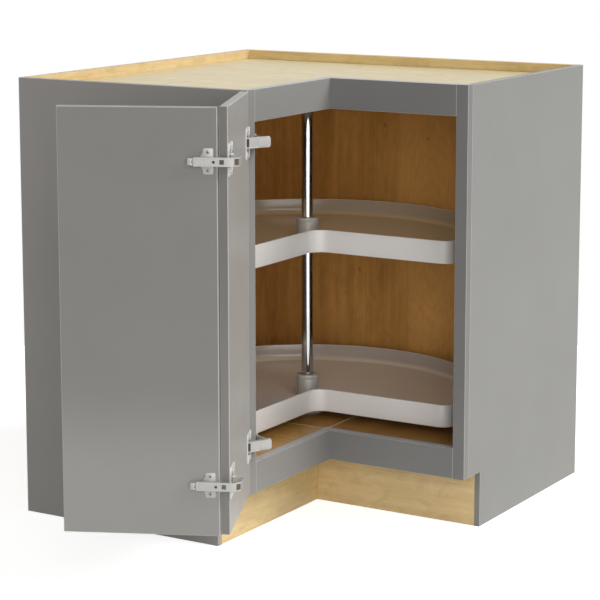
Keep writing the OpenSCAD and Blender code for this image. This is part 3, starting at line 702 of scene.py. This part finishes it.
def hub(side, z):
    """A hub with a flange under the tray's floor and a groove below its top."""
    bm = bmesh.new()
    wall, bore = HUB_D / 2, POLE_D / 2 + HUB_PLAY
    rim, low, high, groove = HUB_FLANGE_R, HUB_FLANGE_LOW, TRAY_RAISE, HUB_GROOVE_AT
    lathe(bm, [(bore, low), (rim - 0.4, low), (rim, low + 0.4), (rim, high - 0.4),
               (rim - 0.4, high), (wall, high), (wall, groove - 1.1), (wall - 0.5, groove - 0.5),
               (wall - 0.5, groove + 0.5), (wall, groove + 1.1), (wall, HUB_TOP - 1.4),
               (wall - 0.5, HUB_TOP - 0.4), (wall - 1.5, HUB_TOP), (bore + 2.9, HUB_TOP),
               (bore + 2.3, HUB_TOP - 0.8), (bore, HUB_TOP - 0.8)],
          HUB_SIDES, (POLE_SET, -POLE_SET, z), closed=True)
    bm.transform(TO_M)
    finish(bm, "Hub_" + side, "hub_" + side, ["hub_plastic"], TURNED_SMOOTH)


def pole():
    bm = bmesh.new()
    half, long = POLE_D / 2, POLE_HIGH - POLE_LOW
    lathe(bm, [(half - 1.2, 0), (half - 0.4, 0.2), (half, 1.0), (half, 200), (half, 450),
               (half, long - 1.0), (half - 0.4, long - 0.2), (half - 1.2, long)],
          POLE_SIDES, (POLE_SET, -POLE_SET, POLE_LOW))
    bm.transform(TO_M)
    finish(bm, "Pole_chrome", "pole", ["chrome"], TURNED_SMOOTH)


for side, z in TRAY_ZS.items():
    tray(side, z)
for side, z in TRAY_ZS.items():
    hub(side, z)
pole()


# Hinges, drawn closed in millimetres at the height of a hinge and carried to the open pose

FACE_X = Matrix(((0, 0, -1, DOOR_IN), (1, 0, 0, 0), (0, -1, 0, 0), (0, 0, 0, 1)))
FACE_Y = Matrix(((1, 0, 0, 0), (0, 0, 1, -DOOR_IN), (0, -1, 0, 0), (0, 0, 0, 1)))
STILE_FACE = Matrix(((1, 0, 0, 0), (0, 0, 1, -STILE_EDGE), (0, -1, 0, 0), (0, 0, 0, 1)))
CUP_MID = 22.5
FRAME_CUP_Y = -HINGE_EDGE + CUP_MID
FOLD_CUP_Y = -LEAF_A_END - CUP_MID
CUP_HOLE_R = 16.5
CUP_BOSS_R = 19.5
FLANGE_HALF_W = 21.0
FLANGE_HALF_H = 29.0
FLANGE_CORNER = 3.0
FLANGE_T = 1.3
CUP_NOTCH = 15.0
CUP_DEPTH = 10.5
CHEEK = 2.0
CHEEK_Z = 7.8
EAR_Z = 10.1
FOLD_EAR_Z = 8.3
EAR_W = 8.0
LINK_W = 9.6
LINK_HALF_H = 9.2
INNER_LINK_W = 6.6
INNER_LINK_HALF_H = 7.5
ARM_H = 16.0
ARM_T = 2.5
ARM_OUT = 12.0
ARM_LEN = 40.0
ARM_Y = -DOOR_IN + ARM_OUT - ARM_T / 2
ARM_END = LEAF_B_START + ARM_LEN
NECK_X = 512.0
WINDOW_HALF = 4.0
HOLLOW_HALF = 5.4
EYE_R = 3.55
EYE_HOLE_R = 1.83
RAIL_HALF = 6.0
WING_SET = 7.0
WING_W = 18.0
WING_HALF = 22.5
SHEET_T = 2.0
SHEET_EASE = 0.35
EAR_STEPS = 14
LINK_STEPS = 12
BASE_HALF_H = 24.0
CUP_SCREW_UP = 22.5
WING_SCREW_UP = 16.0
HINGE_SMOOTH = 35
MITRE_LIMIT = 0.3
SHEET_MITRE_LIMIT = 0.4
WEB_T = 1.2
SEAM_SHARE = 0.42
MOUTH_SET = 8.0
MOUTH_HALF_H = 7.6
WINDOW_AT = LEAF_B_START - 9.0
WINDOW_HALF_W = 4.0
KNUCKLE_START = 4
KNUCKLE_AT = (516.7, ARM_Y - 7.0)
KNUCKLE_TURN = -129.4
CUP_SCREW_SET = 6.0
WING_SCREW_TURN = 12.0
ARM_SCREW_SET = 5.0


def outset(points, distance):
    """A closed loop moved outwards by a distance, its corners mitred. It runs anticlockwise."""
    out = []
    count = len(points)
    for i in range(count):
        before, here, after = (Vector(points[(i + k) % count]) for k in (-1, 0, 1))
        a = (here - before).normalized()
        b = (after - here).normalized()
        na, nb = Vector((a.y, -a.x)), Vector((b.y, -b.x))
        n = (na + nb).normalized()
        out.append(tuple(here + n * distance / max(MITRE_LIMIT, n.dot(na))))
    return out


def prism(bm, outline, low, high, ease=SHEET_EASE, to=STAY, hole=None):
    """A plate with a given outline between two heights, its edges rounded.

    A hole has as many points as the outline."""
    curve = []
    for degrees in (0, 45, 90):
        a = math.radians(degrees)
        curve.append((ease * (1 - math.sin(a)), low + ease * (1 - math.cos(a))))
    made, holes = [], []
    for inset, z in curve + [(inset, high + low - z) for inset, z in reversed(curve)]:
        made.append([bm.verts.new(to @ Vector((x, y, z))) for x, y in outset(outline, -inset)])
        if hole:
            holes.append([bm.verts.new(to @ Vector((x, y, z))) for x, y in outset(hole, inset)])
    for loops in (made, holes):
        for a, b in zip(loops, loops[1:]):
            bridge(bm, a, b)
    for k in (0, -1):
        if hole:
            bridge(bm, made[k], holes[k])
        else:
            bm.faces.new(made[k])


def bar(a, b, width):
    """Outline of a link between two pins."""
    way = math.degrees(math.atan2(b[1] - a[1], b[0] - a[0]))
    return (arc(b, width / 2, way - 90, way + 90, LINK_STEPS)
            + arc(a, width / 2, way + 90, way + 270, LINK_STEPS))


def cheeks(bm, outline, z, near, ease=SHEET_EASE):
    """Two upright sheets of one outline, at a distance above and below the hinge's middle."""
    for low in (near, -near - CHEEK):
        prism(bm, outline, z + low, z + low + CHEEK, ease)


def swept(bm, path, z, thick, height, slots, corner):
    """A bent sheet that stands upright along a path, cut through over some of its lengths.

    The first slot is a window, and those of the knuckle make one taller hollow."""
    loops = []
    t, h, r = thick / 2, height / 2, corner
    last = len(path) - 1
    for i, here in enumerate(path):
        k = WINDOW_HALF if i < KNUCKLE_START else HOLLOW_HALF
        section = [(-t, -h + r), (-t, -k), (-t, k), (-t, h - r), (-t + r, h), (t - r, h),
                   (t, h - r), (t, k), (t, -k), (t, -h + r), (t - r, -h), (-t + r, -h)]
        before = Vector(path[max(0, i - 1)])
        after = Vector(path[min(last, i + 1)])
        here = Vector(here)
        a = (here - before if i else after - here).normalized()
        b = (after - here if i < last else here - before).normalized()
        na, nb = Vector((-a.y, a.x)), Vector((-b.y, b.x))
        n = (na + nb).normalized()
        n = n / max(SHEET_MITRE_LIMIT, n.dot(na))
        loops.append([bm.verts.new((here.x + n.x * s, here.y + n.y * s, z + up))
                      for s, up in section])
    count = len(section)
    for i in range(last):
        a, b = loops[i], loops[i + 1]
        for j in range(count):
            if i in slots and j in (1, 7):
                continue
            k = (j + 1) % count
            bm.faces.new((a[j], a[k], b[k], b[j]))
        if i in slots:
            for j, k in ((1, 8), (2, 7)):
                bm.faces.new((a[j], b[j], b[k], a[k]))
            if i - 1 not in slots:
                bm.faces.new([a[j] for j in (1, 2, 7, 8)])
            if i + 1 not in slots:
                bm.faces.new([b[j] for j in (1, 2, 7, 8)])
    for loop in (loops[0], loops[-1]):
        bm.faces.new(loop)


def screw(bm, to):
    """A wood screw with a domed head on z = 0 and a cross recess in it."""
    sides = 24
    radius, height, shank_r, shank, point = 3.3, 1.7, 1.75, 11.5, 3.0
    cross, half, sink, draft = 1.95, 0.6, 1.1, 0.75
    profile = [(0.5, -shank), (shank_r, point - shank), (shank_r, 0), (radius, 0),
               (radius, 0.2 * height), (0.94 * radius, 0.52 * height),
               (0.8 * radius, 0.82 * height), (0.66 * radius, height)]
    loops = []
    for r, z in profile:
        loops.append([bm.verts.new(to @ Vector((r * math.cos(2 * math.pi * i / sides),
                                                r * math.sin(2 * math.pi * i / sides), z)))
                      for i in range(sides)])
    for a, b in zip(loops, loops[1:]):
        bridge(bm, a, b)
    bm.faces.new(loops[0])
    outline = [(half, half), (half, cross), (-half, cross), (-half, half),
               (-cross, half), (-cross, -half), (-half, -half), (-half, -cross),
               (half, -cross), (half, -half), (cross, -half), (cross, half)]
    top = [bm.verts.new(to @ Vector((x, y, height))) for x, y in outline]
    low = [bm.verts.new(to @ Vector((draft * x, draft * y, height - sink))) for x, y in outline]
    # The cross recess takes the dark material: painted shade.
    bridge(bm, top, low, 1)
    bm.faces.new(low).material_index = 1
    edges = []
    for loop in (loops[-1], top):
        for a, b in zip(loop, loop[1:] + loop[:1]):
            edges.append(bm.edges.get((a, b)) or bm.edges.new((a, b)))
    bmesh.ops.triangle_fill(bm, use_beauty=True, edges=edges)


def rivet(pin, half):
    """Draws an upright pin with a domed head at each end."""
    radius, head, rise = 1.75, 2.5, 0.8
    dome = [(0.35 * head, rise), (0.7 * head, 0.85 * rise), (0.92 * head, 0.5 * rise),
            (head, 0.1 * rise), (head, 0)]
    profile = [(r, -half - h) for r, h in dome] + [(radius, -half), (radius, half)]
    profile += [(r, half + h) for r, h in reversed(dome)]
    return lambda bm, z: lathe(bm, profile, 24, (*pin, z))


def plate_reach(angle, half_w, half_h, corner):
    """Distance from the middle to the edge of a rectangle with round corners."""
    c, s = abs(math.cos(angle)), abs(math.sin(angle))
    best = min(half_w / c if c > 1e-6 else 1e9, half_h / s if s > 1e-6 else 1e9)
    cx, cy = half_w - corner, half_h - corner
    along = cx * c + cy * s
    gap = cx * cx + cy * cy - along * along
    if gap < corner * corner:
        hit = along + math.sqrt(corner * corner - gap)
        if hit * c >= cx - 1e-9 and hit * s >= cy - 1e-9:
            best = min(best, hit)
    return best


def cup(y, pin, near, notch=0):
    """Draws a pressed cup: flange with turned-up edges, bowl, and two ears for the pin.

    A notch is half the height of the flange's opening for the links."""
    count, power = 180, 24
    edge, lip_half, lip_from, lip_to = 20.3, 0.7, 12.5, 28.0

    def draw(bm, z):
        to = Matrix.Translation((0, y, z)) @ FACE_X
        outer, hole = [], []
        for i in range(count):
            a = 2 * math.pi * i / count
            reach = plate_reach(a, FLANGE_HALF_W, FLANGE_HALF_H, FLANGE_CORNER)
            reach = (CUP_BOSS_R ** power + reach ** power) ** (1 / power)
            outer.append((reach * math.cos(a), reach * math.sin(a)))
            inner = CUP_HOLE_R
            if notch and math.cos(a) > 0:
                inner = max(inner, min(CUP_NOTCH / max(1e-6, math.cos(a)),
                                       notch / max(1e-6, abs(math.sin(a)))))
            hole.append((inner * math.cos(a), inner * math.sin(a)))
        prism(bm, outer, 0.0, FLANGE_T, to=to, hole=hole)
        for x in (-edge, edge):
            for low, high in ((-lip_to, -lip_from), (lip_from, lip_to)):
                lip = rounded_box(x - lip_half, low, x + lip_half, high, 0.5, 2)
                prism(bm, lip, FLANGE_T - 0.3, FLANGE_T + 1.0, 0.4, to)
        bowl = [(15.6, CUP_DEPTH), (16.2, 10.2), (CUP_HOLE_R, 9.6), (CUP_HOLE_R, 0.2),
                (17.4, 0.2), (17.4, 10.9), (16.8, 11.4)]
        sink = Matrix.Translation((DOOR_IN, y, z)) @ Matrix.Rotation(math.radians(90), 4, "Y")
        bmesh.ops.transform(bm, matrix=sink, verts=lathe(bm, bowl, 64, (0, 0, 0)))
        foot, half = DOOR_IN + CUP_DEPTH, EAR_W / 2
        ear = arc(pin, half, 90, 270, EAR_STEPS) + [(foot, pin[1] - half), (foot, pin[1] + half)]
        cheeks(bm, ear, z, near)
    return draw


def draw_base(bm, z):
    """The base on the stile's edge, with two ears for the arm's pin."""
    x0, x1 = FRAME_IN + 1, FRAME_IN + 17
    foot, half = -STILE_EDGE + 1, EAR_W / 2
    to = Matrix.Translation((0, 0, z)) @ STILE_FACE
    prism(bm, rounded_box(x0, -BASE_HALF_H, x1, BASE_HALF_H, 3.0), 0, SHEET_T, 0.4, to)
    ear = arc(ARM_PIN, half, 0, 180, EAR_STEPS)
    cheeks(bm, ear + [(ARM_PIN[0] - half, foot), (ARM_PIN[0] + half, foot)], z, CHEEK_Z)


def draw_inner_link(bm, z):
    prism(bm, bar(ARM_PIN, KNEE_PIN, INNER_LINK_W), z - INNER_LINK_HALF_H, z + INNER_LINK_HALF_H,
          0.6)


def draw_outer_link(bm, z):
    """The shell over the links: two cheeks, a web in two parts with a seam, and a dark sheet in its
    mouth as painted shade.
    """
    run = Vector(CUP_PIN) - Vector(KNEE_PIN)
    seam, mouth = SEAM_SHARE * run.length, run.length - MOUTH_SET
    half, h = LINK_W / 2, LINK_HALF_H
    cheeks(bm, bar(KNEE_PIN, CUP_PIN, LINK_W), z, CHEEK_Z, 0.45)
    to = (Matrix.Translation((*KNEE_PIN, z))
          @ Matrix.Rotation(math.atan2(run.y, run.x), 4, "Z"))
    web = to @ Matrix(((1, 0, 0, 0), (0, 0, -1, half), (0, 1, 0, 0), (0, 0, 0, 1)))
    prism(bm, [(-4.4, -6.3), (-2.2, -h), (seam, -h), (seam, h), (-2.2, h), (-4.4, 6.3)],
          0, WEB_T, to=web)
    prism(bm, rounded_box(seam + 0.5, -h, mouth, h, 0.6, 2), 0.25, WEB_T, 0.3, web)
    # A dark sheet in the mouth: painted shade.
    box(bm, (mouth - 0.2, half - 1.4, -MOUTH_HALF_H), (run.length + 2.0, half - 0.7, MOUTH_HALF_H),
        to, index=1)
    box(bm, (seam - 1, half - 1.2, -8.8), (seam + 1.6, half - 0.55, 8.8), to)


def draw_plate(bm, z):
    """The winged plate, flared where its wings meet the rail."""
    x0 = LEAF_B_START + WING_SET
    x1 = x0 + WING_W
    flare, reach, top, r = 4.5, 10.5, WING_HALF, 2.6
    outline = arc((x1 - r, top - r), r, 0, 90, 5)[1:] + arc((x0 + r, top - r), r, 90, 180, 5)
    outline += [(x0, -reach + 4)]
    outline += arc((x0 + r, -top + r), r, 180, 270, 5) + arc((x1 - r, -top + r), r, 270, 360, 5)
    outline += [(x1, -reach - flare), (x1 + flare, -reach + 2), (x1 + flare, reach - 2),
                (x1, reach + flare)]
    to = Matrix.Translation((0, 0, z)) @ FACE_Y
    prism(bm, outline, 0, SHEET_T, to=to)
    prism(bm, rounded_box(LEAF_B_START + 2, -RAIL_HALF, ARM_END + ARM_T + 8.5, RAIL_HALF, 1.0),
          0, ARM_OUT - ARM_T, 0.3, to)


def bead(bm, points, radius, to):
    """A small half-sunk bead along a closed path."""
    loops = []
    count, sides, squash = len(points), 8, 0.6
    for i, here in enumerate(points):
        way = (Vector(points[(i + 1) % count]) - Vector(points[i - 1])).normalized()
        n = Vector((-way.y, way.x))
        loop = []
        for k in range(sides):
            t = 2 * math.pi * k / sides
            p = Vector(here) + n * radius * math.cos(t)
            loop.append(bm.verts.new(to @ Vector((p.x, p.y, radius * squash * math.sin(t)))))
        loops.append(loop)
    for a, b in zip(loops, loops[1:] + loops[:1]):
        bridge(bm, a, b)


def draw_arm(bm, z):
    """The cranked arm over the rail: window, knuckle with a hollow, and the eye round the pin."""
    fold_y = FOLD_PIN[1]
    path = [(ARM_END, ARM_Y), (WINDOW_AT + WINDOW_HALF_W, ARM_Y),
            (WINDOW_AT - WINDOW_HALF_W, ARM_Y), (522.6, ARM_Y),
            (521.2, ARM_Y - 0.35), (519.4, ARM_Y - 1.35), (518.2, ARM_Y - 2.6),
            (513.9, ARM_Y - 7.4), (512.7, ARM_Y - 9.3), (512.1, ARM_Y - 11.2),
            (NECK_X, ARM_Y - 13.2), (NECK_X, fold_y + 4.0), (512.4, fold_y + 1.8),
            (513.6, fold_y + 0.5), (516.0, fold_y), (FOLD_PIN[0] - 2.0, fold_y)]
    swept(bm, path, z, ARM_T, ARM_H, slots=(1, 5, 6, 7, 8), corner=0.45)
    hollow = (Matrix.Translation((*KNUCKLE_AT, z))
              @ Matrix.Rotation(math.radians(KNUCKLE_TURN), 4, "Z"))
    # A thin dark brown sheet stands in the knuckle's hollow: painted shade.
    box(bm, (-5.4, -0.2, -6.2), (5.4, 0.2, 6.2), hollow, index=2)
    half, ease = ARM_H / 2, 0.3
    lathe(bm, [(EYE_HOLE_R, ease - half), (EYE_HOLE_R + ease, -half), (EYE_R - ease, -half),
               (EYE_R, ease - half), (EYE_R, half - ease), (EYE_R - ease, half),
               (EYE_HOLE_R + ease, half), (EYE_HOLE_R, half - ease)], 32, (*FOLD_PIN, z),
          closed=True)
    for low in (-half + 0.3, RAIL_HALF + 0.2):
        box(bm, (LEAF_B_START + 2, -DOOR_IN + 2.3, z + low), (ARM_END, ARM_Y - 0.6, z + low + 1.5),
            ease=0.3)
    to = Matrix.Translation((0, ARM_OUT - 0.02, z)) @ FACE_Y
    bead(bm, rounded_box(ARM_END - 22, -4.6, ARM_END - 3, 4.6, 4.4, 8), 0.55, to)


def draw_clip(bm, z):
    """The clip at the arm's end, slotted at its near side and with a raised pad."""
    x0 = ARM_END + ARM_T / 2 + 0.2
    x1 = x0 + 8.5
    slot, depth, corner, half = 2.2, 1.6, 1.5, RAIL_HALF
    to = Matrix.Translation((0, 0, z)) @ FACE_Y
    outline = [(x0, -half), (x1 - corner, -half), (x1, corner - half), (x1, half - corner),
               (x1 - corner, half), (x0, half), (x0, slot), (x0 + depth, slot),
               (x0 + depth, -slot), (x0, -slot)]
    prism(bm, outline, ARM_OUT - ARM_T, ARM_OUT + 0.3, to=to)
    prism(bm, rounded_box(x0 + 2.2, -5.2, x1 - 3.2, 5.2, 1.0), ARM_OUT, ARM_OUT + 1.0, 0.4, to)


def draw_cup_screws(bm, z):
    for y in (FRAME_CUP_Y + CUP_SCREW_SET, FOLD_CUP_Y - CUP_SCREW_SET):
        for up in (-CUP_SCREW_UP, CUP_SCREW_UP):
            screw(bm, Matrix.Translation((-FLANGE_T, y, z + up)) @ FACE_X)


def draw_wing_screws(bm, z):
    for up in (-WING_SCREW_UP, WING_SCREW_UP):
        to = Matrix.Translation((LEAF_B_START + WING_SET + WING_W / 2, SHEET_T, z + up)) @ FACE_Y
        screw(bm, to @ Matrix.Rotation(math.radians(WING_SCREW_TURN), 4, "Z"))


def draw_arm_screws(bm, z):
    """A cup-headed screw: its hollow nearly fills the head and is coloured dark as painted shade.
    """
    sides = 24
    verts = lathe(bm, [(0.5, -7), (1.75, -6), (1.75, 0), (3.0, 0), (3.0, 0.4), (2.8, 0.7),
                       (2.45, 0.7), (2.4, 0.5), (2.3, 0.08)], sides, (0, 0, 0))
    hollow = set(verts[-2 * sides:])
    # The hollow's faces take the dark material: painted shade.
    for face in {f for v in hollow for f in v.link_faces}:
        if all(v in hollow for v in face.verts):
            face.material_index = 1
    to = Matrix.Translation((LEAF_B_START + ARM_SCREW_SET, ARM_OUT, z)) @ FACE_Y
    bmesh.ops.transform(bm, matrix=to, verts=verts)


def each(name, node, draw, carry, plated="steel"):
    """One piece for each hinge where there is a node for each, or else one piece for both."""
    rows = [("", HINGE_ZS)]
    if node + "_upper" in frame["nodes"]:
        rows = [("_upper", HINGE_ZS[:1]), ("_lower", HINGE_ZS[1:])]
    for side, zs in rows:
        bm = bmesh.new()
        for z in zs:
            draw(bm, z)
        bm.transform(TO_M @ carry)
        finish(bm, name + side, node + side, [plated, "recess", "hollow_painted_shade"],
               HINGE_SMOOTH)


each("Hinge_base", "hinge_base", draw_base, STAY)
each("Base_pins", "base_pins", rivet(ARM_PIN, CHEEK_Z + CHEEK), STAY)
each("Inner_link", "inner_link", draw_inner_link, ON_INNER)
each("Outer_link", "outer_link", draw_outer_link, ON_OUTER)
each("Knee_pins", "knee_pins", rivet(KNEE_PIN, CHEEK_Z + CHEEK), ON_OUTER)
each("Frame_cup", "frame_cup", cup(FRAME_CUP_Y, CUP_PIN, EAR_Z, EAR_Z), ON_DOORS, "cup_steel_painted_light")
each("Fold_cup", "fold_cup", cup(FOLD_CUP_Y, FOLD_PIN, FOLD_EAR_Z), ON_DOORS, "cup_steel_painted_light")
each("Cup_pins", "cup_pins", rivet(CUP_PIN, EAR_Z + CHEEK), ON_DOORS)
each("Fold_pins", "fold_pins", rivet(FOLD_PIN, FOLD_EAR_Z + CHEEK), ON_DOORS)
each("Cup_screws", "leaf_a_screws", draw_cup_screws, ON_DOORS)
each("Wing_screws", "leaf_b_screws", draw_wing_screws, ON_DOORS)
each("Arm_screws", "arm_screws", draw_arm_screws, ON_DOORS)
each("Fold_plate", "fold_plate", draw_plate, ON_DOORS)
each("Fold_arm", "fold_arm", draw_arm, ON_DOORS)
each("Fold_clip", "fold_clip", draw_clip, ON_DOORS)

# CAD nodes that keep their shape get their material
KEPT = {
    "steel": ("stop_collar_upper", "stop_collar_lower", "set_screws", "cabinet_screws",
              "hub_screws_upper", "hub_screws_lower"),
    "socket_plastic": ("pole_foot",),
    "chrome": ("pole_head",),
}
for material, nodes in KEPT.items():
    for node in nodes:
        kept = frame["nodes"][node]
        if not kept.data.materials:
            kept.data.materials.append(None)
        for held in kept.material_slots:
            held.material = MATERIALS[material]


# Stage, light and camera

def sees_white(tree):
    """1 for camera, glossy and transmission rays, which see the white background, and else 0."""
    path = tree.nodes.new("ShaderNodeLightPath")
    seen = path.outputs["Is Camera Ray"]
    for kind in ("Is Glossy Ray", "Is Transmission Ray"):
        node = tree.nodes.new("ShaderNodeMath")
        node.operation = "MAXIMUM"
        tree.links.new(seen, node.inputs[0])
        tree.links.new(path.outputs[kind], node.inputs[1])
        seen = node.outputs[0]
    return seen


def lit(tree, kind, strength, colour=WHITE):
    """The output of a background or emission shader."""
    node = tree.nodes.new(kind)
    node.inputs["Color"].default_value = colour
    node.inputs["Strength"].default_value = strength
    return node.outputs[0]


def either(tree, factor, a, b):
    """The output of a mix of two shaders."""
    node = tree.nodes.new("ShaderNodeMixShader")
    for socket, out in zip(node.inputs, (factor, a, b)):
        tree.links.new(out, socket)
    return node.outputs[0]


def stage_floor():
    """A pale round floor that shows white and keeps the object's shadow."""
    bm = bmesh.new()
    bmesh.ops.create_circle(bm, cap_ends=True, radius=FLOOR_R, segments=FLOOR_SIDES)
    bmesh.ops.translate(bm, verts=bm.verts, vec=FLOOR_AT)
    mesh = bpy.data.meshes.new("Stage_floor")
    bm.to_mesh(mesh)
    bm.free()
    floor = bpy.data.objects.new("Stage_floor", mesh)
    bpy.context.scene.collection.objects.link(floor)
    material = bpy.data.materials.new("Stage_white")
    material.use_nodes = True
    tree = material.node_tree
    shader = tree.nodes["Principled BSDF"]
    shader.inputs["Base Color"].default_value = FLOOR_COLOUR
    shader.inputs["Roughness"].default_value = FLOOR_ROUGH
    shader.inputs["Specular IOR Level"].default_value = 0.0
    glow = either(tree, sees_white(tree), lit(tree, "ShaderNodeEmission", 0.0),
                  lit(tree, "ShaderNodeEmission", FLOOR_GLOW))
    both = tree.nodes.new("ShaderNodeAddShader")
    tree.links.new(shader.outputs[0], both.inputs[0])
    tree.links.new(glow, both.inputs[1])
    tree.links.new(both.outputs[0], tree.nodes["Material Output"].inputs["Surface"])
    mesh.materials.append(material)


def world():
    """A dim even light, and a white background for the rays that see it."""
    made = bpy.data.worlds.new("Studio")
    bpy.context.scene.world = made
    made.use_nodes = True
    tree = made.node_tree
    tree.nodes.clear()
    mixed = either(tree, sees_white(tree),
                   lit(tree, "ShaderNodeBackground", WORLD_LEVEL, WORLD_COLOUR),
                   lit(tree, "ShaderNodeBackground", 1.0))
    out = tree.nodes.new("ShaderNodeOutputWorld")
    tree.links.new(mixed, out.inputs["Surface"])


def sun(name, energy, source, angle, colour):
    """A soft lamp that shines from a direction; the angle is its width in degrees."""
    lamp = bpy.data.lights.new(name, "SUN")
    lamp.energy = energy
    lamp.angle = math.radians(angle)
    lamp.color = colour
    holder = bpy.data.objects.new(name, lamp)
    holder.rotation_euler = source.to_track_quat("Z", "Y").to_euler()
    bpy.context.scene.collection.objects.link(holder)


def camera():
    data = bpy.data.cameras.new("Camera")
    data.sensor_width = CAMERA_SENSOR
    data.lens = CAMERA_LENS
    data.shift_y = CAMERA_SHIFT_Y
    data.clip_end = CAMERA_CLIP
    holder = bpy.data.objects.new("Camera", data)
    bpy.context.scene.collection.objects.link(holder)
    az, el, roll = CAMERA_AZIMUTH, CAMERA_ELEVATION, CAMERA_ROLL
    forward = Vector((math.sin(az) * math.cos(el), math.cos(az) * math.cos(el), -math.sin(el)))
    level = Vector((math.cos(az), -math.sin(az), 0.0))
    over = level.cross(forward)
    right = math.cos(roll) * level + math.sin(roll) * over
    up = -math.sin(roll) * level + math.cos(roll) * over
    turned = Matrix((right, up, -forward)).transposed().to_4x4()
    holder.matrix_world = Matrix.Translation(CAMERA_AT) @ turned
    bpy.context.scene.camera = holder


stage_floor()
world()
sun("Key", KEY_ENERGY, KEY_FROM, KEY_ANGLE, KEY_COLOUR)
sun("Fill", FILL_ENERGY, FILL_FROM, FILL_ANGLE, FILL_COLOUR)
camera()

bpy.context.scene.view_settings.view_transform = "Standard"
